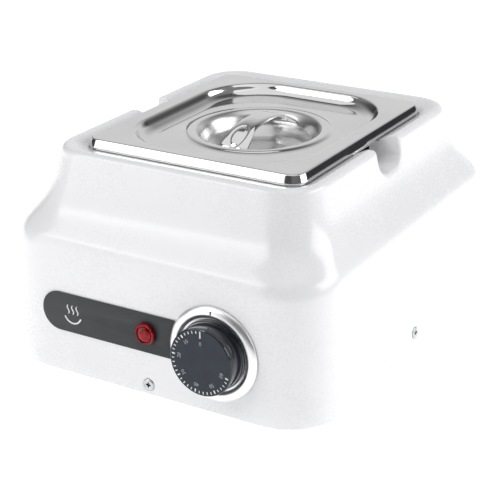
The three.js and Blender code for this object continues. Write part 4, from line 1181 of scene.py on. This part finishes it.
def make_gland():
    thread = [(GLAND_THREAD, -WALL - 9)]
    for turn in range(10):
        base = -WALL - 8.4 + turn * 1.1
        thread += [(GLAND_THREAD, base), (GLAND_THREAD - 0.45, base + 0.55)]
    profile = [(GLAND_BORE, -WALL - 9)] + thread + [
        (GLAND_THREAD, GAP), (10.6, GAP), (11, 0.7), (11, 4.6), (10.6, 5), (GLAND_THREAD, 5),
        (GLAND_THREAD, 8.4), (6, 8.4), (6, 3), (GLAND_BORE, 3),
    ]
    body = turned("gland_body", profile, 64, GLAND_FRAME, closed=True)
    install(body, "casing", "gland_black", "cord_gland", angle=32)
    low = 5 + GAP
    dome = [
        (GLAND_THREAD + GAP, low + 5), (9.9, low + 5), (9.5, low + 7.0), (8.6, low + 8.6),
        (7.4, GLAND_PROUD - 0.3), (6.9, GLAND_PROUD), (GLAND_BORE + 0.5, GLAND_PROUD),
        (GLAND_BORE, GLAND_PROUD - 0.5), (GLAND_BORE, 8.8), (GLAND_THREAD + GAP, 8.8),
    ]
    grip = ribbed_ring(GLAND_THREAD + GAP, 10.4, low, low + 5.2, 18, 0.7)
    nut = mesh_object("gland_dome", *merge(grip, lathe(dome, 72, True)), GLAND_FRAME)
    install(nut, "casing", "gland_black", "cord_gland_dome_nut", angle=32)
    ring = [(3.6, 3.2), (5.8, 3.2), (5.8, 8.6), (3.6, 8.6)]
    seal = turned("gland_grommet", ring, 48, GLAND_FRAME, closed=True, reach=0.5)
    install(seal, "casing", "foot_rubber", "cord_gland_seal", angle=32)


for wall_side, wall_place in SCREW_FRAMES.items():
    make_casing_screw(wall_side, wall_place)
for row, side_y in (("front", -1), ("rear", 1)):
    for column, side_x in (("left", -1), ("right", 1)):
        make_foot(f"{row}_{column}", standing(side_x * FOOT_AT[0], side_y * FOOT_AT[1], 0))
make_gland()

# ------------------------ heated well and the soft pieces inside

WOOL_VOXEL = 2.2


def well_level(z, inset):
    taper = PAN_TAPER * (WELL_TOP_Z - z)
    half = [side - taper - inset for side in WELL_HALF]
    return (*half, WELL_CORNER - 0.5 * taper - inset, z)


def make_well():
    """A pressed tub with a flange, an ear with a screw hole at each boss, and a stud under its floor."""
    floor = WELL_FLOOR_Z
    levels = [
        disc(0, floor), well_level(floor, 6), well_level(floor + 1.2, 3.6), well_level(floor + 5, WELL_SHEET),
        well_level(WELL_TOP_Z - 1.5, WELL_SHEET), well_level(WELL_TOP_Z, 0.4),
        (WELL_HALF[0] + WELL_FLANGE, WELL_HALF[1] + WELL_FLANGE, 30, WELL_TOP_Z),
    ]
    well = pressed_sheet("well_shell", soften(levels, 1.4, 4), WELL_SHEET, 240)
    reach = BOSS_AT[1] + EAR_MARGIN - WELL_HALF[1] - 2
    for x in (-BOSS_AT[0], BOSS_AT[0]):
        for side in (-1, 1):
            centre = (x, side * (WELL_HALF[1] + 2 + reach / 2), WELL_TOP_Z - WELL_SHEET / 2)
            ear = bar((EAR_WIDTH, reach, WELL_SHEET - 0.02), centre)
            boolean(well, mesh_object("ear_tool", *ear), "UNION")
            drill(well, WELL_SCREW_HOLE, -5, 5, 24, standing(x, side * BOSS_AT[1], WELL_TOP_Z))
    profile = [(0, -17), (2.1, -17), (2.5, -16.5), (2.5, 0.5), (0, 0.5)]
    stud = turned("stud_tool", profile, 24, standing(0, 0, floor - WELL_SHEET))
    boolean(well, stud, "UNION")
    install(well, "casing", "well_aluminium", "heater_well", angle=40)


def make_blanket(name, node, swell):
    """Mineral wool cut to the node's shape: rounded edges and a lumpy surface, kept inside the node's box."""
    low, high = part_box(node)
    blanket = bpy.data.objects.new(name, NODES[node].data.copy())
    bpy.context.scene.collection.objects.link(blanket)
    remesh = blanket.modifiers.new("even", "REMESH")
    remesh.mode = "VOXEL"
    remesh.voxel_size = WOOL_VOXEL * MM
    relax = blanket.modifiers.new("relax", "SMOOTH")
    relax.factor = 0.6
    relax.iterations = 5
    apply_modifiers(blanket)
    mesh = blanket.data
    normals = [vertex.normal.copy() for vertex in mesh.vertices]
    for vertex, normal in zip(mesh.vertices, normals):
        lump = noise.noise(vertex.co * 70) * 0.6 + noise.noise(vertex.co * 210) * 0.4
        moved = vertex.co + normal * (lump - 0.6) * swell * MM
        vertex.co = Vector(min(max(moved[i], low[i]), high[i]) for i in range(3))
    install(blanket, "casing", "insulation_wool", node, angle=180)


make_well()
make_blanket("wool_pad", "insulation_pad", 0.5)
make_blanket("wool_wrap", "insulation_wrap", 0.6)

# ------------------------ CAD nodes that stay

KEPT = {
    "zinc_steel": [
        "base_tray", "thermostat_spindle", "thermostat_screw_left", "thermostat_screw_right",
        "well_screw_front_left", "well_screw_front_right", "well_screw_rear_left", "well_screw_rear_right",
        "heater_clamp_plate", "heater_clamp_nut", "bulb_clip", "terminal_screw_left", "terminal_screw_right",
    ],
    "silicone_red": ["heater_mat"],
    "silicone_grey": ["well_gasket"],
    "electrical_cream": ["thermostat_body", "terminal_block"],
    "gland_black": ["pilot_lamp_body", "pilot_lamp_nut", "cord_gland_locknut", "thermal_cutout"],
    "copper_tube": ["sensor_bulb", "sensor_capillary"],
    "brass_fitting": ["earth_stud", "earth_nut"],
    "wire_white": [
        "wire_live", "wire_switched", "wire_heater_live", "wire_heater_neutral", "wire_lamp_live",
        "wire_lamp_neutral",
    ],
    "wire_earth_green": ["wire_earth"],
}

for finish_name, kept_names in KEPT.items():
    for kept_name in kept_names:
        dress(NODES[kept_name], finish_name, angle=40)

view = bpy.context.scene.view_settings
view.view_transform = "Standard"
view.look = "None"
